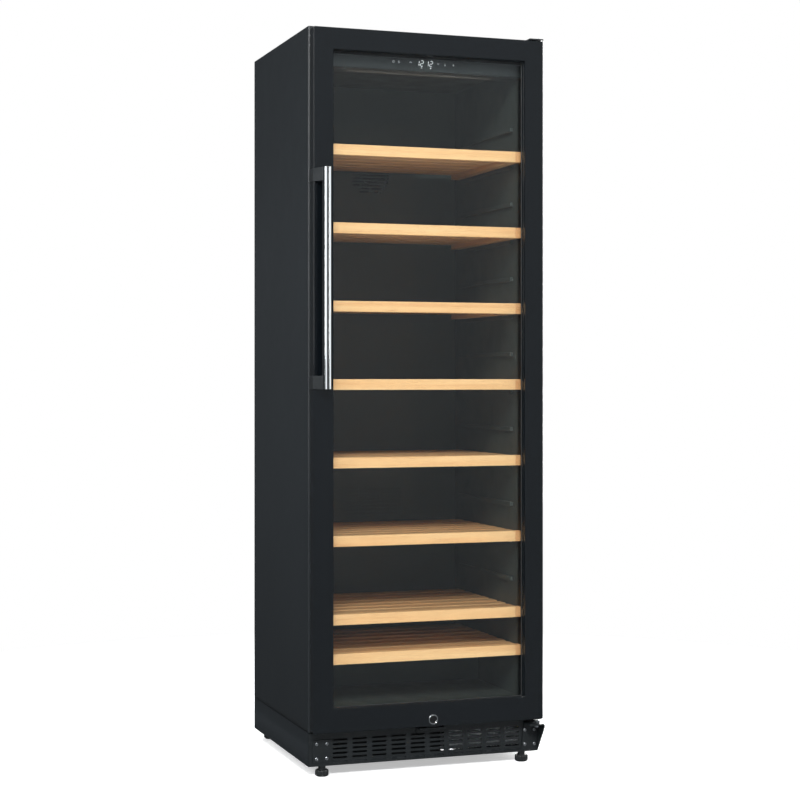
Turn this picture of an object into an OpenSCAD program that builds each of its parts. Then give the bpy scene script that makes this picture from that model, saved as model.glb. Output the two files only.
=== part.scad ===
/* [Cabinet] */
// Outer width of the cabinet
cab_w = 595; // [590:1:600]
// Depth of the cabinet without the door
cab_d = 511; // [511:1:540]
// Overall height, feet included
total_h = 1800; // [1800:1:1820]
// Height of the base above the floor
foot_h = 26; // [26:1:32]
// Thickness of the outer steel sheet
sheet = 1.2; // [1:0.1:1.4]
// Thickness of the inner plastic liner
liner_t = 2; // [1.5:0.5:2.5]
// Half of the clear inside width
in_x = 258; // [256:1:259]
// Height of the inside floor above the ground
in_floor = 160; // [158:1:162]
// Height of the inside ceiling above the ground
in_top = 1737; // [1735:1:1738]

/* [Door] */
// Width of the door
door_w = 592; // [588:1:593]
// Gap between the cabinet front and the door's back face, filled by the gasket
door_gap = 9; // [8:0.5:10]
// Thickness of the door
door_t = 33; // [32:0.5:36]
// Height of the door's lower edge above the ground
door_z0 = 112; // [112:1:114]
// Distance from the cabinet's top down to the door's upper edge
door_drop = 8; // [8:0.5:9]
// Width of the frame at the sides
frame_side = 49; // [47:1:51]
// Width of the frame at the top
frame_top = 52; // [50:1:54]
// Width of the frame at the bottom
frame_bottom = 56; // [54:1:58]
// Depth from the frame's front face to the glass
glass_recess = 18; // [16:1:18]
// Thickness of each glass pane
pane_t = 4; // [3:0.5:4]
// Air space between the panes
pane_gap = 6; // [5:0.5:6]

/* [Shelves] */
// Height of the top shelf's upper edge above the ground
shelf_top = 1521; // [1515:1:1525]
// Distance between shelves
shelf_pitch = 189; // [186:1:190]
// Distance from the seventh shelf to the lowest one
low_pitch = 95; // [92:1:97]
// Height of a shelf's front board
fascia_h = 26; // [24:1:28]
// Thickness of a shelf's front board
fascia_t = 20; // [16:1:22]
// Number of slats in each shelf
slats = 7; // [6:1:9]

/* [Handle] */
// Length of the handle bar
bar_len = 525; // [480:5:600]
// Height of the bar's lower end above the ground
bar_z = 930; // [900:5:950]
// Width of the bar
bar_w = 16; // [14:1:18]
// Depth of the bar
bar_d = 23; // [20:1:25]
// Distance from the door's front face to the bar's front face
bar_out = 44; // [42:1:48]
// Height of each handle bracket
bracket_h = 32; // [28:1:36]

/* [Hinge and lock] */
// Distance of the hinge axis from the middle of the door
hinge_x = 285; // [284:1:286]
// Distance of the hinge axis in front of the cabinet
hinge_out = 29; // [28:1:30]
// Radius of the hinge pins
pin_r = 4.95; // [4.5:0.05:5]
// Radial clearance of everything that turns in a bore
play = 0.05; // [0.02:0.01:0.08]
// Height of the lock above the door's lower edge
lock_up = 16.5; // [16:0.5:18]

/* [Plinth] */
// Columns of slots in the plinth grille
grille_cols = 10; // [8:1:10]
// Rows of slots in the plinth grille
grille_rows = 6; // [4:1:6]
// Length of a slot
slot_len = 37; // [30:1:40]
// Height of a slot
slot_h = 4.8; // [4:0.2:5.4]
// Radius of a foot's knob
knob_r = 16.5; // [14:0.5:18]

/* [Hidden] */
$fn = 48;
eps = 0.1;
half_w = cab_w / 2;
bar_front = door_gap + door_t + bar_out;
front_y = (bar_front - cab_d) / 2;
skin_x = half_w - sheet;
return_w = 18;
flange_x = half_w - return_w - 0.2;
collar_d = 30;
back_y = cab_d - 44;
hump_y = 300;
hump_z = 258;
room_y = hump_y + 44;
room_z = hump_z - 46;
room_roof = 112.2;
roof_t = 1;
lip_h = 12;

door_x = door_w / 2;
door_y0 = -(door_gap + door_t);
door_z1 = total_h - door_drop;
open_x = door_x - frame_side;
open_z0 = door_z0 + frame_bottom;
open_z1 = door_z1 - frame_top;
trim_t = 3;
frame_y1 = -(door_gap + trim_t);
skin = 3;
reveal_t = 4;
glass_y = door_y0 + glass_recess;
inner_pane_y = glass_y + pane_t + pane_gap;
pane_lap = 15;
pane_x = open_x + pane_lap;
pane_z0 = open_z0 - pane_lap;
pane_z1 = open_z1 + pane_lap;
gasket_x = 285;
gasket_w = 23;
gasket_play = 0.4;

hinge_y = -hinge_out;
bush_r = 8;
flange_r = 10;
corner_w = 23;
corner_h = 42;
lower_pin_top = 142;
upper_pin_bottom = door_z1 - 28;
arm_z = 97;
arm_t = 4;
nut_h = 6;
plate_z = door_z1 + 1.2;
plate_t = 3.5;

lock_x = 6;
lock_z = door_z0 + lock_up;
lock_r = 9.5;
plug_r = 6;
cam_len = 29;
cam_w = 10;
cam_y = -17.6;
cam_t = 2.6;
keeper_z = 103;

grille_t = 3;
grille_top = 105;
grille_mid = 5;
col_pitch = 49.7;
row_pitch = 10.7;
row_z = foot_h + 7.7;
screw_dx = 25.5;
screw_dz = 35.5;
plate_screw_x = -278;
plate_screw_z = 44;
bracket_screw_x = 262.5;

foot_x = 260;
foot_front_y = 12;
foot_rear_y = cab_d - 22;
knob_h = 16;
neck_r = 9;
stem_r = 5;

flange_screw_x = 290.5;
flange_screw_z = total_h - 46;
flange_screw_dz = 23;
screw_r = 4;

panel_h = 31;
panel_z = in_top - panel_h - 0.2;
strip_x = 190;
strip_y0 = 36;
strip_y1 = 56;
duct_x = 130;
duct_y = 430;
duct_z0 = 560;
duct_z1 = 1640;
fan_z = 1500;
evap_fan = 116;
cond_fan = 76;
cond_fan_x = 160;
cond_fan_z = 70;
cond_fan_y = 98;
coil_x = 165;
coil_y = 60;
coil_z = 68;
coil_len = 190;
coil_d = 50;
coil_h = 64;
coil_tube_r = 3.5;
comp_x = 110;
comp_y = 428;
comp_r = 72;
mount_dx = 78;
mount_dy = 44;
mount_r = 6;
box_x0 = -246;
box_x1 = -130;
box_top = 158;
gland_x = -200;
gland_z = 80;
pipe_r = 3;
pipe_bend = 8;

slat_t = 12;
slat_w = 40;
slat_drop = 2;
runner_w = 24;
shelf_front = 2;
shelf_back = 424;
deck_x = in_x - 4;
fascia_x = in_x - 3;
support_w = 8;
support_h = 10;
support_play = 0.4;
support_y0 = 60;
support_y1 = 420;
low_support_h = 7;

bar_x0 = -door_x + 14.5;
bar_y0 = door_y0 - bar_out;

function shelf_z(i) = i < 7 ? shelf_top - i * shelf_pitch : shelf_top - 6 * shelf_pitch - low_pitch;

black = "#26292b";
gloss_black = "#17191b";
wood = "#f0c48f";
galvanised = "#a8adb0";
liner_grey = "#4b4f4f";
copper = "#b87345";

// Everything below is drawn with y = 0 on the cabinet's front face, then moved so that the
// origin is the middle of the footprint.
module placed() {
  translate([0, front_y, 0])
    children();
}

module block(x0, x1, y0, y1, z0, z1) {
  translate([x0, y0, z0])
    cube([x1 - x0, y1 - y0, z1 - z0]);
}

// A rectangular ring in the XZ plane, mirrored about x = 0.
module ring(x_out, z_out0, z_out1, x_in, z_in0, z_in1, y0, y1) {
  difference() {
    block(-x_out, x_out, y0, y1, z_out0, z_out1);
    block(-x_in, x_in, y0 - 1, y1 + 1, z_in0, z_in1);
  }
}

// A cylinder along +Y starting at y0.
module rod_y(x, z, r, y0, y1) {
  translate([x, y1, z])
    rotate([90, 0, 0])
      cylinder(r = r, h = y1 - y0);
}

// A cylinder along +X starting at x0.
module rod_x(y, z, r, x0, x1) {
  translate([x0, y, z])
    rotate([0, 90, 0])
      cylinder(r = r, h = x1 - x0);
}

module rod_z(x, y, r, z0, z1) {
  translate([x, y, z0])
    cylinder(r = r, h = z1 - z0);
}

// ---- Outer skin -------------------------------------------------------------------------

// The slot in the right-hand front edge through which the upper hinge plate enters the wall.
module hinge_slot() {
  block(258, 296.3, -1, 32, plate_z - 0.4, plate_z + plate_t + 0.4);
}

module side_skin() {
  block(skin_x, half_w, 0, cab_d, foot_h, total_h - sheet);
  block(half_w - return_w, skin_x, 0, sheet, grille_top + 2, total_h - sheet);
}

module left_side_panel() {
  color(black) placed()
    mirror([1, 0, 0])
      side_skin();
}

module right_side_panel() {
  color(black) placed()
    difference() {
      side_skin();
      hinge_slot();
    }
}

module top_panel() {
  color(black) placed()
    difference() {
      union() {
        block(-half_w, half_w, 0, cab_d, total_h - sheet, total_h);
        block(-flange_x, flange_x, 0, sheet, total_h - lip_h, total_h - sheet);
      }
      hinge_slot();
    }
}

module rear_panel() {
  color(black) placed()
    block(-skin_x, skin_x, cab_d - sheet, cab_d, room_z + roof_t, total_h - sheet);
}

module base_tray() {
  color(galvanised) placed()
    difference() {
      union() {
        block(-skin_x, skin_x, 1, cab_d - 1, foot_h, foot_h + 2);
        block(-skin_x, skin_x, 1, 2.2, foot_h, foot_h + 13);
        for (x = [-foot_x, foot_x], y = [foot_front_y, foot_rear_y])
          rod_z(x, y, 9, foot_h, foot_h + 14);
      }
      for (x = [-foot_x, foot_x], y = [foot_front_y, foot_rear_y])
        rod_z(x, y, stem_r + play, foot_h - 1, foot_h + 20);
    }
}

module machine_room_roof() {
  color(galvanised) placed() {
    block(-skin_x, skin_x, collar_d, room_y + roof_t, room_roof, room_roof + roof_t);
    block(-skin_x, skin_x, room_y, room_y + roof_t, room_roof, room_z + roof_t);
    block(-skin_x, skin_x, room_y, cab_d - sheet, room_z, room_z + roof_t);
  }
}

// ---- Liner and insulation ---------------------------------------------------------------

// The side wall follows the step in the floor.
module liner_side() {
  step_y = hump_y + liner_t;
  wall_y1 = back_y + liner_t;
  translate([in_x, 0, 0])
    rotate([90, 0, 90])
      linear_extrude(height = liner_t)
        polygon([[collar_d, in_floor - liner_t], [step_y, in_floor - liner_t],
                 [step_y, hump_z - liner_t], [wall_y1, hump_z - liner_t],
                 [wall_y1, in_top + liner_t], [collar_d, in_top + liner_t]]);
}

module liner_left_wall() {
  color(liner_grey) placed()
    mirror([1, 0, 0])
      liner_side();
}

module liner_right_wall() {
  color(liner_grey) placed()
    liner_side();
}

module liner_back_wall() {
  color(liner_grey) placed()
    block(-in_x, in_x, back_y, back_y + liner_t, hump_z, in_top);
}

module liner_ceiling() {
  color(liner_grey) placed()
    block(-in_x, in_x, collar_d, back_y + liner_t, in_top, in_top + liner_t);
}

// The floor steps up over the compressor's compartment.
module liner_floor() {
  color(liner_grey) placed() {
    block(-in_x, in_x, collar_d, hump_y + liner_t, in_floor - liner_t, in_floor);
    block(-in_x, in_x, hump_y, hump_y + liner_t, in_floor, hump_z);
    block(-in_x, in_x, hump_y, back_y + liner_t, hump_z - liner_t, hump_z);
  }
}

module insulation_foam() {
  foam_x = skin_x - eps;
  foam_in = in_x + liner_t + eps;
  color("#d9c98a") placed()
    difference() {
      block(-foam_x, foam_x, 3 + eps, cab_d - sheet - eps, room_roof + roof_t + eps,
            total_h - sheet - eps);
      block(-foam_in, foam_in, -1, hump_y + liner_t + eps, in_floor - liner_t - eps,
            in_top + liner_t + eps);
      block(-foam_in, foam_in, -1, back_y + liner_t + eps, hump_z - liner_t - eps,
            in_top + liner_t + eps);
      block(-half_w, half_w, room_y - eps, cab_d + 1, room_roof, room_z + roof_t + eps);
      hinge_slot();
    }
}

// Black plastic frame round the opening, which the door's gasket seals on.
module door_flange() {
  color(black) placed() {
    ring(flange_x, grille_top + 2, total_h - lip_h - 0.2, in_x, in_floor, in_top, 0, 3);
    ring(in_x + liner_t, in_floor - liner_t, in_top + liner_t, in_x, in_floor, in_top, 3, collar_d);
  }
}

// A pair of ledges under a shelf whose upper edge is at height z.
module ledges(z, h) {
  ledge_top = z - fascia_h - support_play;
  for (s = [0, 1])
    mirror([s, 0, 0])
      block(in_x - support_w, in_x, support_y0, support_y1, ledge_top - h, ledge_top);
}

// Two ledges for each shelf and spare ones half-way between. The lowest pair clears the step.
module shelf_supports() {
  color(liner_grey) placed() {
    for (i = [0 : 13])
      ledges(shelf_top + shelf_pitch / 2 * (1 - i), support_h);
    ledges(shelf_z(7), low_support_h);
  }
}

// ---- Controls and light -----------------------------------------------------------------

module control_panel() {
  color("#515657") placed()
    difference() {
      block(-in_x + 0.5, in_x - 0.5, 5, 70, panel_z, in_top - 0.2);
      block(-strip_x, strip_x, strip_y0, strip_y1, panel_z - 1, panel_z + 2);
    }
}

// One seven-bar numeral, 12 mm high, drawn towards -Y. bars lists the lit bars.
module numeral(x, bars) {
  w = 5;
  h = 12;
  t = 1;
  for (b = bars) {
    if (b == "top") block(x, x + w, -0.5, 0, h - t, h);
    if (b == "mid") block(x, x + w, -0.5, 0, h / 2 - t / 2, h / 2 + t / 2);
    if (b == "low") block(x, x + w, -0.5, 0, 0, t);
    if (b == "upper_right") block(x + w - t, x + w, -0.5, 0, h / 2, h);
    if (b == "lower_right") block(x + w - t, x + w, -0.5, 0, 0, h / 2);
    if (b == "lower_left") block(x, x + t, -0.5, 0, 0, h / 2);
  }
}

module display_marks() {
  one = ["upper_right", "lower_right"];
  two = ["top", "upper_right", "mid", "lower_left", "low"];
  color("white") placed()
    translate([0, 5, panel_z + 14]) {
      for (x = [-15, 8]) {
        numeral(x - 5, one);
        numeral(x + 4, two);
      }
      for (x = [-80, -66, -36, 36, 54, 76])
        rod_y(x, 6, 2, -0.5, 0);
    }
}

module light_strip() {
  color("#fff2d8") placed()
    block(-strip_x + 0.4, strip_x - 0.4, strip_y0 + 0.4, strip_y1 - 0.4, panel_z - 1, panel_z + 1.8);
}

// ---- Refrigeration ----------------------------------------------------------------------

// A finned coil: fins across X on rows of tubes along X, centred on x = 0.
module finned_coil(len, depth, height, fins, rows, tube_r) {
  for (i = [0 : fins - 1])
    translate([-len / 2 + i * (len - 1) / (fins - 1), -depth / 2, -height / 2])
      cube([1, depth, height]);
  for (i = [0 : rows - 1], y = [-depth / 4, depth / 4])
    rod_x(y, -height / 2 + (i + 0.5) * height / rows, tube_r, -len / 2 - 4, len / 2 + 4);
}

module evaporator() {
  color(galvanised) placed()
    translate([0, 451, 900])
      rotate([0, 90, 0])
        finned_coil(400, 22, 160, 26, 5, 4);
}

// A square axial fan housing, with its motor disc at the back and the rotor's pin.
module fan_frame(size, depth) {
  bore = size / 2 - 3;
  difference() {
    block(-size / 2, size / 2, 0, depth, -size / 2, size / 2);
    rod_y(0, 0, bore, -1, depth + 1);
  }
  rod_y(0, 0, size * 0.18, depth - 3, depth);
  rod_y(0, 0, 3, 5, depth - 3);
  for (a = [45 : 90 : 315])
    rotate([0, a, 0])
      block(0, bore + 1, depth - 3, depth, -2, 2);
}

module fan_rotor(size, depth) {
  hub = size * 0.17;
  tip = size / 2 - 6;
  difference() {
    union() {
      rod_y(0, 0, hub, 3, depth - 4.5);
      for (a = [0 : 360 / 7 : 359])
        rotate([0, a, 0])
          translate([0, depth / 2 - 1, 0])
            rotate([35, 0, 0])
              block(hub - 2, tip, -1, 1, -size * 0.1, size * 0.1);
    }
    rod_y(0, 0, 3 + play, 2, depth);
  }
}

module evaporator_fan_frame() {
  color("#303436") placed()
    translate([0, duct_y + 8, fan_z])
      fan_frame(evap_fan, 25);
}

module evaporator_fan_rotor() {
  color("#1d2022") placed()
    translate([0, duct_y + 8, fan_z])
      fan_rotor(evap_fan, 25);
}

module condenser_fan_frame() {
  color("#303436") placed()
    translate([cond_fan_x, cond_fan_y, cond_fan_z])
      fan_frame(cond_fan, 25);
}

module condenser_fan_rotor() {
  color("#1d2022") placed()
    translate([cond_fan_x, cond_fan_y, cond_fan_z])
      fan_rotor(cond_fan, 25);
}

// The cover over the evaporator, with an intake below and a round outlet in front of the fan.
module air_duct_cover() {
  depth = back_y - duct_y;
  color(liner_grey) placed()
    difference() {
      block(-duct_x, duct_x, duct_y, back_y, duct_z0, duct_z1);
      block(-duct_x + 3, duct_x - 3, duct_y + 3, back_y + 1, duct_z0 + 3, duct_z1 - 3);
      for (i = [0 : 7], x = [-88, -28, 32])
        block(x, x + 56, duct_y - 1, duct_y + 4, duct_z0 + 30 + 10 * i, duct_z0 + 34 + 10 * i);
      for (i = [-5 : 5]) {
        reach = sqrt(54 * 54 - 81 * i * i);
        block(-reach, reach, duct_y - 1, duct_y + 4, fan_z + 9 * i - 2.5, fan_z + 9 * i + 2.5);
      }
    }
}

module condenser_coil() {
  color(galvanised) placed()
    translate([coil_x, coil_y, coil_z])
      finned_coil(coil_len, coil_d, coil_h, 25, 3, coil_tube_r);
}

module compressor() {
  color("#1e2021") placed()
    translate([comp_x, comp_y, 0]) {
      rotate_extrude($fn = 72)
        polygon([[0, 46], [50, 46], [66, 52], [comp_r, 64], [comp_r, 116], [comp_r + 2, 116],
                 [comp_r + 2, 121], [comp_r, 121], [comp_r, 164], [64, 182], [44, 192], [0, 196]]);
      difference() {
        block(-mount_dx - 10, mount_dx + 10, -mount_dy - 12, mount_dy + 12, 38, 46);
        for (x = [-mount_dx, mount_dx], y = [-mount_dy, mount_dy])
          rod_z(x, y, mount_r + eps, 37, 47);
      }
      block(68, 92, -26, 26, 76, 132);
    }
}

// Rubber grommets, each with its stud and nut.
module compressor_mounts() {
  color("#151515") placed()
    translate([comp_x, comp_y, 0])
      for (x = [-mount_dx, mount_dx], y = [-mount_dy, mount_dy]) {
        rod_z(x, y, 11, foot_h + 2, 38);
        rod_z(x, y, mount_r, 38, 46);
        rod_z(x, y, 10, 46, 52);
      }
}

module drain_tray() {
  color("#2b2e30") placed()
    difference() {
      block(-120, 10, 372, 488, foot_h + 2, foot_h + 42);
      block(-117.5, 7.5, 374.5, 485.5, foot_h + 4.5, foot_h + 43);
    }
}

module elbow() {
  rotate_extrude(angle = 90)
    translate([pipe_bend, 0, 0])
      circle(r = pipe_r);
}

// Hot gas line at the right, liquid line with its filter drier, and the suction line at the left.
module refrigerant_pipes() {
  coil_face = coil_y + coil_d / 4 + coil_tube_r;
  gas_x = coil_x + coil_len / 2 + pipe_r + 0.5;
  liquid_x = coil_x - coil_len / 2 - pipe_r - 0.5;
  liquid_z = coil_z + coil_h / 3;
  suction_x = -40;
  suction_z = 100;
  bend_y = comp_y - pipe_bend;
  drier_r = 9;
  color(copper) placed() {
    rod_y(gas_x, coil_z, pipe_r, coil_face, bend_y);
    translate([gas_x - pipe_bend, bend_y, coil_z])
      elbow();
    rod_x(comp_y, coil_z, pipe_r, comp_x + comp_r + eps, gas_x - pipe_bend);
    rod_y(liquid_x, liquid_z, pipe_r, coil_face, 150);
    rod_y(liquid_x, liquid_z, drier_r, 150, 240);
    rod_y(liquid_x, liquid_z, pipe_r, 240, 330);
    rod_y(suction_x, suction_z, pipe_r, 300, bend_y);
    translate([suction_x + pipe_bend, bend_y, suction_z])
      mirror([1, 0, 0])
        elbow();
    rod_x(comp_y, suction_z, pipe_r, suction_x + pipe_bend, comp_x - comp_r - eps);
  }
}

module control_box() {
  color("#3a3e40") placed() {
    block(box_x0, box_x1, 396, 500, foot_h + 2, box_top);
    block(box_x0 - 3, box_x1 + 3, 393, 503, box_top, box_top + 12);
  }
}

// The strain relief that the mains lead would pass through.
module cord_gland() {
  bore_r = 3.7;
  color("#151515") placed()
    difference() {
      union() {
        rod_y(gland_x, gland_z, 11, 500, 504);
        rod_y(gland_x, gland_z, 8, 504, cab_d);
      }
      rod_y(gland_x, gland_z, bore_r, 499, cab_d + 1);
    }
}

// ---- Plinth -----------------------------------------------------------------------------

module slot_hole() {
  end = (slot_len - slot_h) / 2;
  block(-end, end, -1, grille_t + 1, -slot_h / 2, slot_h / 2);
  for (x = [-end, end])
    rod_y(x, 0, slot_h / 2, -1, grille_t + 1);
}

module kick_grille() {
  color(black) placed()
    difference() {
      block(-half_w, half_w, -grille_t, 0, foot_h, grille_top);
      for (c = [0 : grille_cols - 1], r = [0 : grille_rows - 1])
        translate([grille_mid + (c - (grille_cols - 1) / 2) * col_pitch, -grille_t,
                   row_z + r * row_pitch])
          slot_hole();
    }
}

module blank_hinge_plate() {
  color(black) placed()
    block(plate_screw_x - 10, plate_screw_x + screw_dx + 10, -grille_t - 2, -grille_t,
          plate_screw_z - 10, plate_screw_z + screw_dz + 10);
}

// A pan-head screw facing -Y with a cross recess.
module screw(x, z, y, r) {
  translate([x, y, z])
    difference() {
      rod_y(0, 0, r, -1.8, 0);
      block(-r * 0.65, r * 0.65, -2.5, -0.9, -0.5, 0.5);
      block(-0.5, 0.5, -2.5, -0.9, -r * 0.65, r * 0.65);
    }
}

module bracket_screws() {
  color(galvanised) placed() {
    for (dx = [0, screw_dx], dz = [0, screw_dz]) {
      screw(plate_screw_x + dx, plate_screw_z + dz, -grille_t - 2, screw_r);
      screw(bracket_screw_x + dx, plate_screw_z + dz, -grille_t - 3, screw_r);
    }
    for (x = [-flange_screw_x, flange_screw_x], dz = [0, flange_screw_dz])
      screw(x, flange_screw_z + dz, 0, screw_r);
  }
}

module lower_hinge_bracket() {
  color(black) placed()
    difference() {
      union() {
        translate([0, -grille_t, 0])
          rotate([90, 0, 0])
            linear_extrude(height = 3)
              polygon([[252, foot_h + 2], [297.5, foot_h + 2], [297.5, arm_z], [260, arm_z]]);
        block(258, 297.5, door_y0 - 8, -grille_t, arm_z, arm_z + arm_t);
        translate([295.5, 0, 0])
          rotate([90, 0, 90])
            linear_extrude(height = 2)
              polygon([[-grille_t, foot_h + 2], [-grille_t - 3, foot_h + 2],
                       [door_y0 - 8, arm_z - 6], [door_y0 - 8, arm_z], [-grille_t, arm_z]]);
      }
      rod_z(hinge_x, hinge_y, pin_r, arm_z - 1, arm_z + arm_t + 1);
    }
}

module upper_hinge_plate() {
  color(black) placed()
    difference() {
      block(260, 296, door_y0 - 2, 30, plate_z, plate_z + plate_t);
      rod_z(hinge_x, hinge_y, pin_r, plate_z - 1, plate_z + plate_t + 1);
    }
}

// The lower pin with its head and nut, and the upper pin with its head.
module hinge_pins() {
  color("silver") placed()
    translate([hinge_x, hinge_y, 0]) {
      rod_z(0, 0, pin_r, arm_z, lower_pin_top);
      translate([0, 0, arm_z - 7])
        cylinder(r = 7, h = 7);
      translate([0, 0, arm_z + arm_t])
        cylinder(r = 8, h = nut_h, $fn = 6);
      rod_z(0, 0, pin_r, upper_pin_bottom, plate_z + plate_t);
      rod_z(0, 0, 8, plate_z + plate_t, total_h - 1.2);
    }
}

// The slotted strike under the door that the lock's cam drops into.
module lock_keeper() {
  color("#1b1d1e") placed()
    difference() {
      union() {
        block(-25, 42, -32, -grille_t, keeper_z, keeper_z + 3);
        block(-25, 42, -grille_t - 3, -grille_t, 90, keeper_z + 3);
      }
      block(lock_x - 9, lock_x + 27, -22, -11, keeper_z - 1, keeper_z + 4);
    }
}

module foot(x, y) {
  color("#1a1c1d") placed()
    translate([x, y, 0]) {
      difference() {
        rotate_extrude($fn = 64)
          polygon([[0, 0], [knob_r - 2, 0], [knob_r, 2], [knob_r, knob_h - 2],
                   [knob_r - 2, knob_h], [0, knob_h]]);
        for (a = [0 : 22.5 : 337.5])
          rotate([0, 0, a])
            translate([knob_r + 0.6, 0, -1])
              cylinder(r = 1.6, h = knob_h + 2, $fn = 16);
      }
      rod_z(0, 0, neck_r, knob_h, foot_h - support_play);
      rod_z(0, 0, stem_r, foot_h - support_play, foot_h + 30);
    }
}

module foot_front_left() {
  foot(-foot_x, foot_front_y);
}

module foot_front_right() {
  foot(foot_x, foot_front_y);
}

module foot_rear_left() {
  foot(-foot_x, foot_rear_y);
}

module foot_rear_right() {
  foot(foot_x, foot_rear_y);
}

// ---- Door -------------------------------------------------------------------------------

// A channel open to the back, with solid corners where the hinge bushes sit.
module door_frame() {
  color(gloss_black) placed()
    difference() {
      union() {
        difference() {
          ring(door_x, door_z0, door_z1, open_x, open_z0, open_z1, door_y0, frame_y1);
          ring(door_x - skin, door_z0 + skin, door_z1 - skin, open_x + reveal_t,
               open_z0 - reveal_t, open_z1 + reveal_t, door_y0 + skin, 0);
          ring(open_x + reveal_t + 1, open_z0 - reveal_t - 1, open_z1 + reveal_t + 1,
               open_x - 1, open_z0 + 1, open_z1 - 1, glass_y, 0);
        }
        for (z = [door_z0 + 1, door_z1 - 1 - corner_h])
          block(door_x - 1 - corner_w, door_x - 1, door_y0 + 1, frame_y1, z, z + corner_h);
      }
      rod_z(hinge_x, hinge_y, bush_r, door_z0 - 1, door_z0 + 34);
      rod_z(hinge_x, hinge_y, bush_r, door_z1 - 34, door_z1 + 1);
      rod_y(lock_x, lock_z, lock_r, door_y0 - 1, door_y0 + skin + 1);
      block(lock_x - 8, lock_x + 27, -22, -13.5, door_z0 - 1, door_z0 + skin + 1);
    }
}

module pane() {
  block(-pane_x, pane_x, 0, pane_t, pane_z0, pane_z1);
}

module outer_glass() {
  color("#556066", 0.4) placed()
    translate([0, glass_y, 0])
      pane();
}

module inner_glass() {
  color("#556066", 0.4) placed()
    translate([0, inner_pane_y, 0])
      pane();
}

module glass_spacer() {
  color("#2a2c2e") placed()
    ring(pane_x - 3, pane_z0 + 3, pane_z1 - 3, open_x + 2, open_z0 - 2, open_z1 + 2,
         glass_y + pane_t, inner_pane_y);
}

module door_gasket() {
  color("#141516") placed()
    ring(gasket_x, door_z0 + 10, door_z1 - 10, gasket_x - gasket_w,
         door_z0 + 10 + gasket_w, door_z1 - 10 - gasket_w, -door_gap, -gasket_play);
}

module door_inner_trim() {
  color(black) placed()
    difference() {
      ring(door_x, door_z0, door_z1, open_x + 3, open_z0 - 3, open_z1 + 3,
           frame_y1, -door_gap);
      block(-pane_x - 0.4, pane_x + 0.4, frame_y1 - 1, inner_pane_y + pane_t,
            pane_z0 - 0.4, pane_z1 + 0.4);
    }
}

module handle_bar() {
  color("silver") placed()
    difference() {
      block(bar_x0, bar_x0 + bar_w, bar_y0, bar_y0 + bar_d, bar_z, bar_z + bar_len);
      block(bar_x0 + bar_w / 2 - 1, bar_x0 + bar_w / 2 + 1, bar_y0 - 1, bar_y0 + 2.5,
            bar_z - 1, bar_z + bar_len + 1);
    }
}

// Each bracket wraps round the door's edge and leans forward to the bar.
module handle_brackets() {
  edge = -door_x;
  tab = 1.5;
  y_tab = -door_gap;
  color("#3a3e40") placed()
    for (z = [bar_z, bar_z + bar_len - bracket_h])
      translate([0, 0, z])
        linear_extrude(height = bracket_h)
          polygon([[edge - tab, y_tab], [edge, y_tab], [edge, door_y0], [bar_x0 + 4, door_y0],
                   [bar_x0 + 4, bar_y0 + bar_d], [bar_x0, bar_y0 + bar_d], [bar_x0, bar_y0 + bar_d - 8],
                   [bar_x0 - 1.5, bar_y0 + bar_d - 8], [edge - tab, door_y0 + 2]]);
}

module lock_housing() {
  color("#3c4042") placed()
    difference() {
      union() {
        rod_y(lock_x, lock_z, lock_r + 2.2, door_y0 - 1.5, door_y0);
        rod_y(lock_x, lock_z, lock_r, door_y0, -18);
      }
      rod_y(lock_x, lock_z, plug_r + play, door_y0 - 3, -17);
    }
}

module lock_cylinder() {
  color("#8d9294") placed()
    translate([lock_x, 0, lock_z]) {
      difference() {
        rod_y(0, 0, plug_r, door_y0 - 1.2, cam_y);
        block(-3.5, 3.5, door_y0 - 3, door_y0 + 4, -0.6, 0.6);
      }
      block(-cam_w / 2, cam_len, cam_y, cam_y + cam_t, -cam_w / 2, cam_w / 2);
    }
}

module bush(z0, z1, flange0, flange1) {
  translate([hinge_x, hinge_y, 0])
    difference() {
      union() {
        rod_z(0, 0, bush_r, z0, z1);
        rod_z(0, 0, flange_r, flange0, flange1);
      }
      rod_z(0, 0, pin_r + play, min(z0, flange0) - 1, max(z1, flange1) + 1);
    }
}

module hinge_bushes() {
  color("#d8d8d2") placed() {
    bush(door_z0, door_z0 + 34, door_z0 - 3, door_z0);
    bush(door_z1 - 34, door_z1, door_z1, door_z1 + 1);
  }
}

// ---- Shelves ----------------------------------------------------------------------------

// A glued wooden shelf: front board, two side runners and slats across them.
module shelf(i) {
  gap = (shelf_back - shelf_front - fascia_t - slats * slat_w) / slats;
  color(wood) placed()
    translate([0, 0, shelf_z(i)]) {
      block(-fascia_x, fascia_x, shelf_front, shelf_front + fascia_t, -fascia_h, 0);
      for (x = [-deck_x, deck_x - runner_w])
        block(x, x + runner_w, shelf_front + fascia_t, shelf_back, -fascia_h, -slat_drop - slat_t);
      for (k = [1 : slats])
        translate([0, shelf_front + fascia_t + k * gap + (k - 1) * slat_w, 0])
          block(-deck_x, deck_x, 0, slat_w, -slat_drop - slat_t, -slat_drop);
    }
}

module shelf_1() { shelf(0); }
module shelf_2() { shelf(1); }
module shelf_3() { shelf(2); }
module shelf_4() { shelf(3); }
module shelf_5() { shelf(4); }
module shelf_6() { shelf(5); }
module shelf_7() { shelf(6); }
module shelf_8() { shelf(7); }

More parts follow.
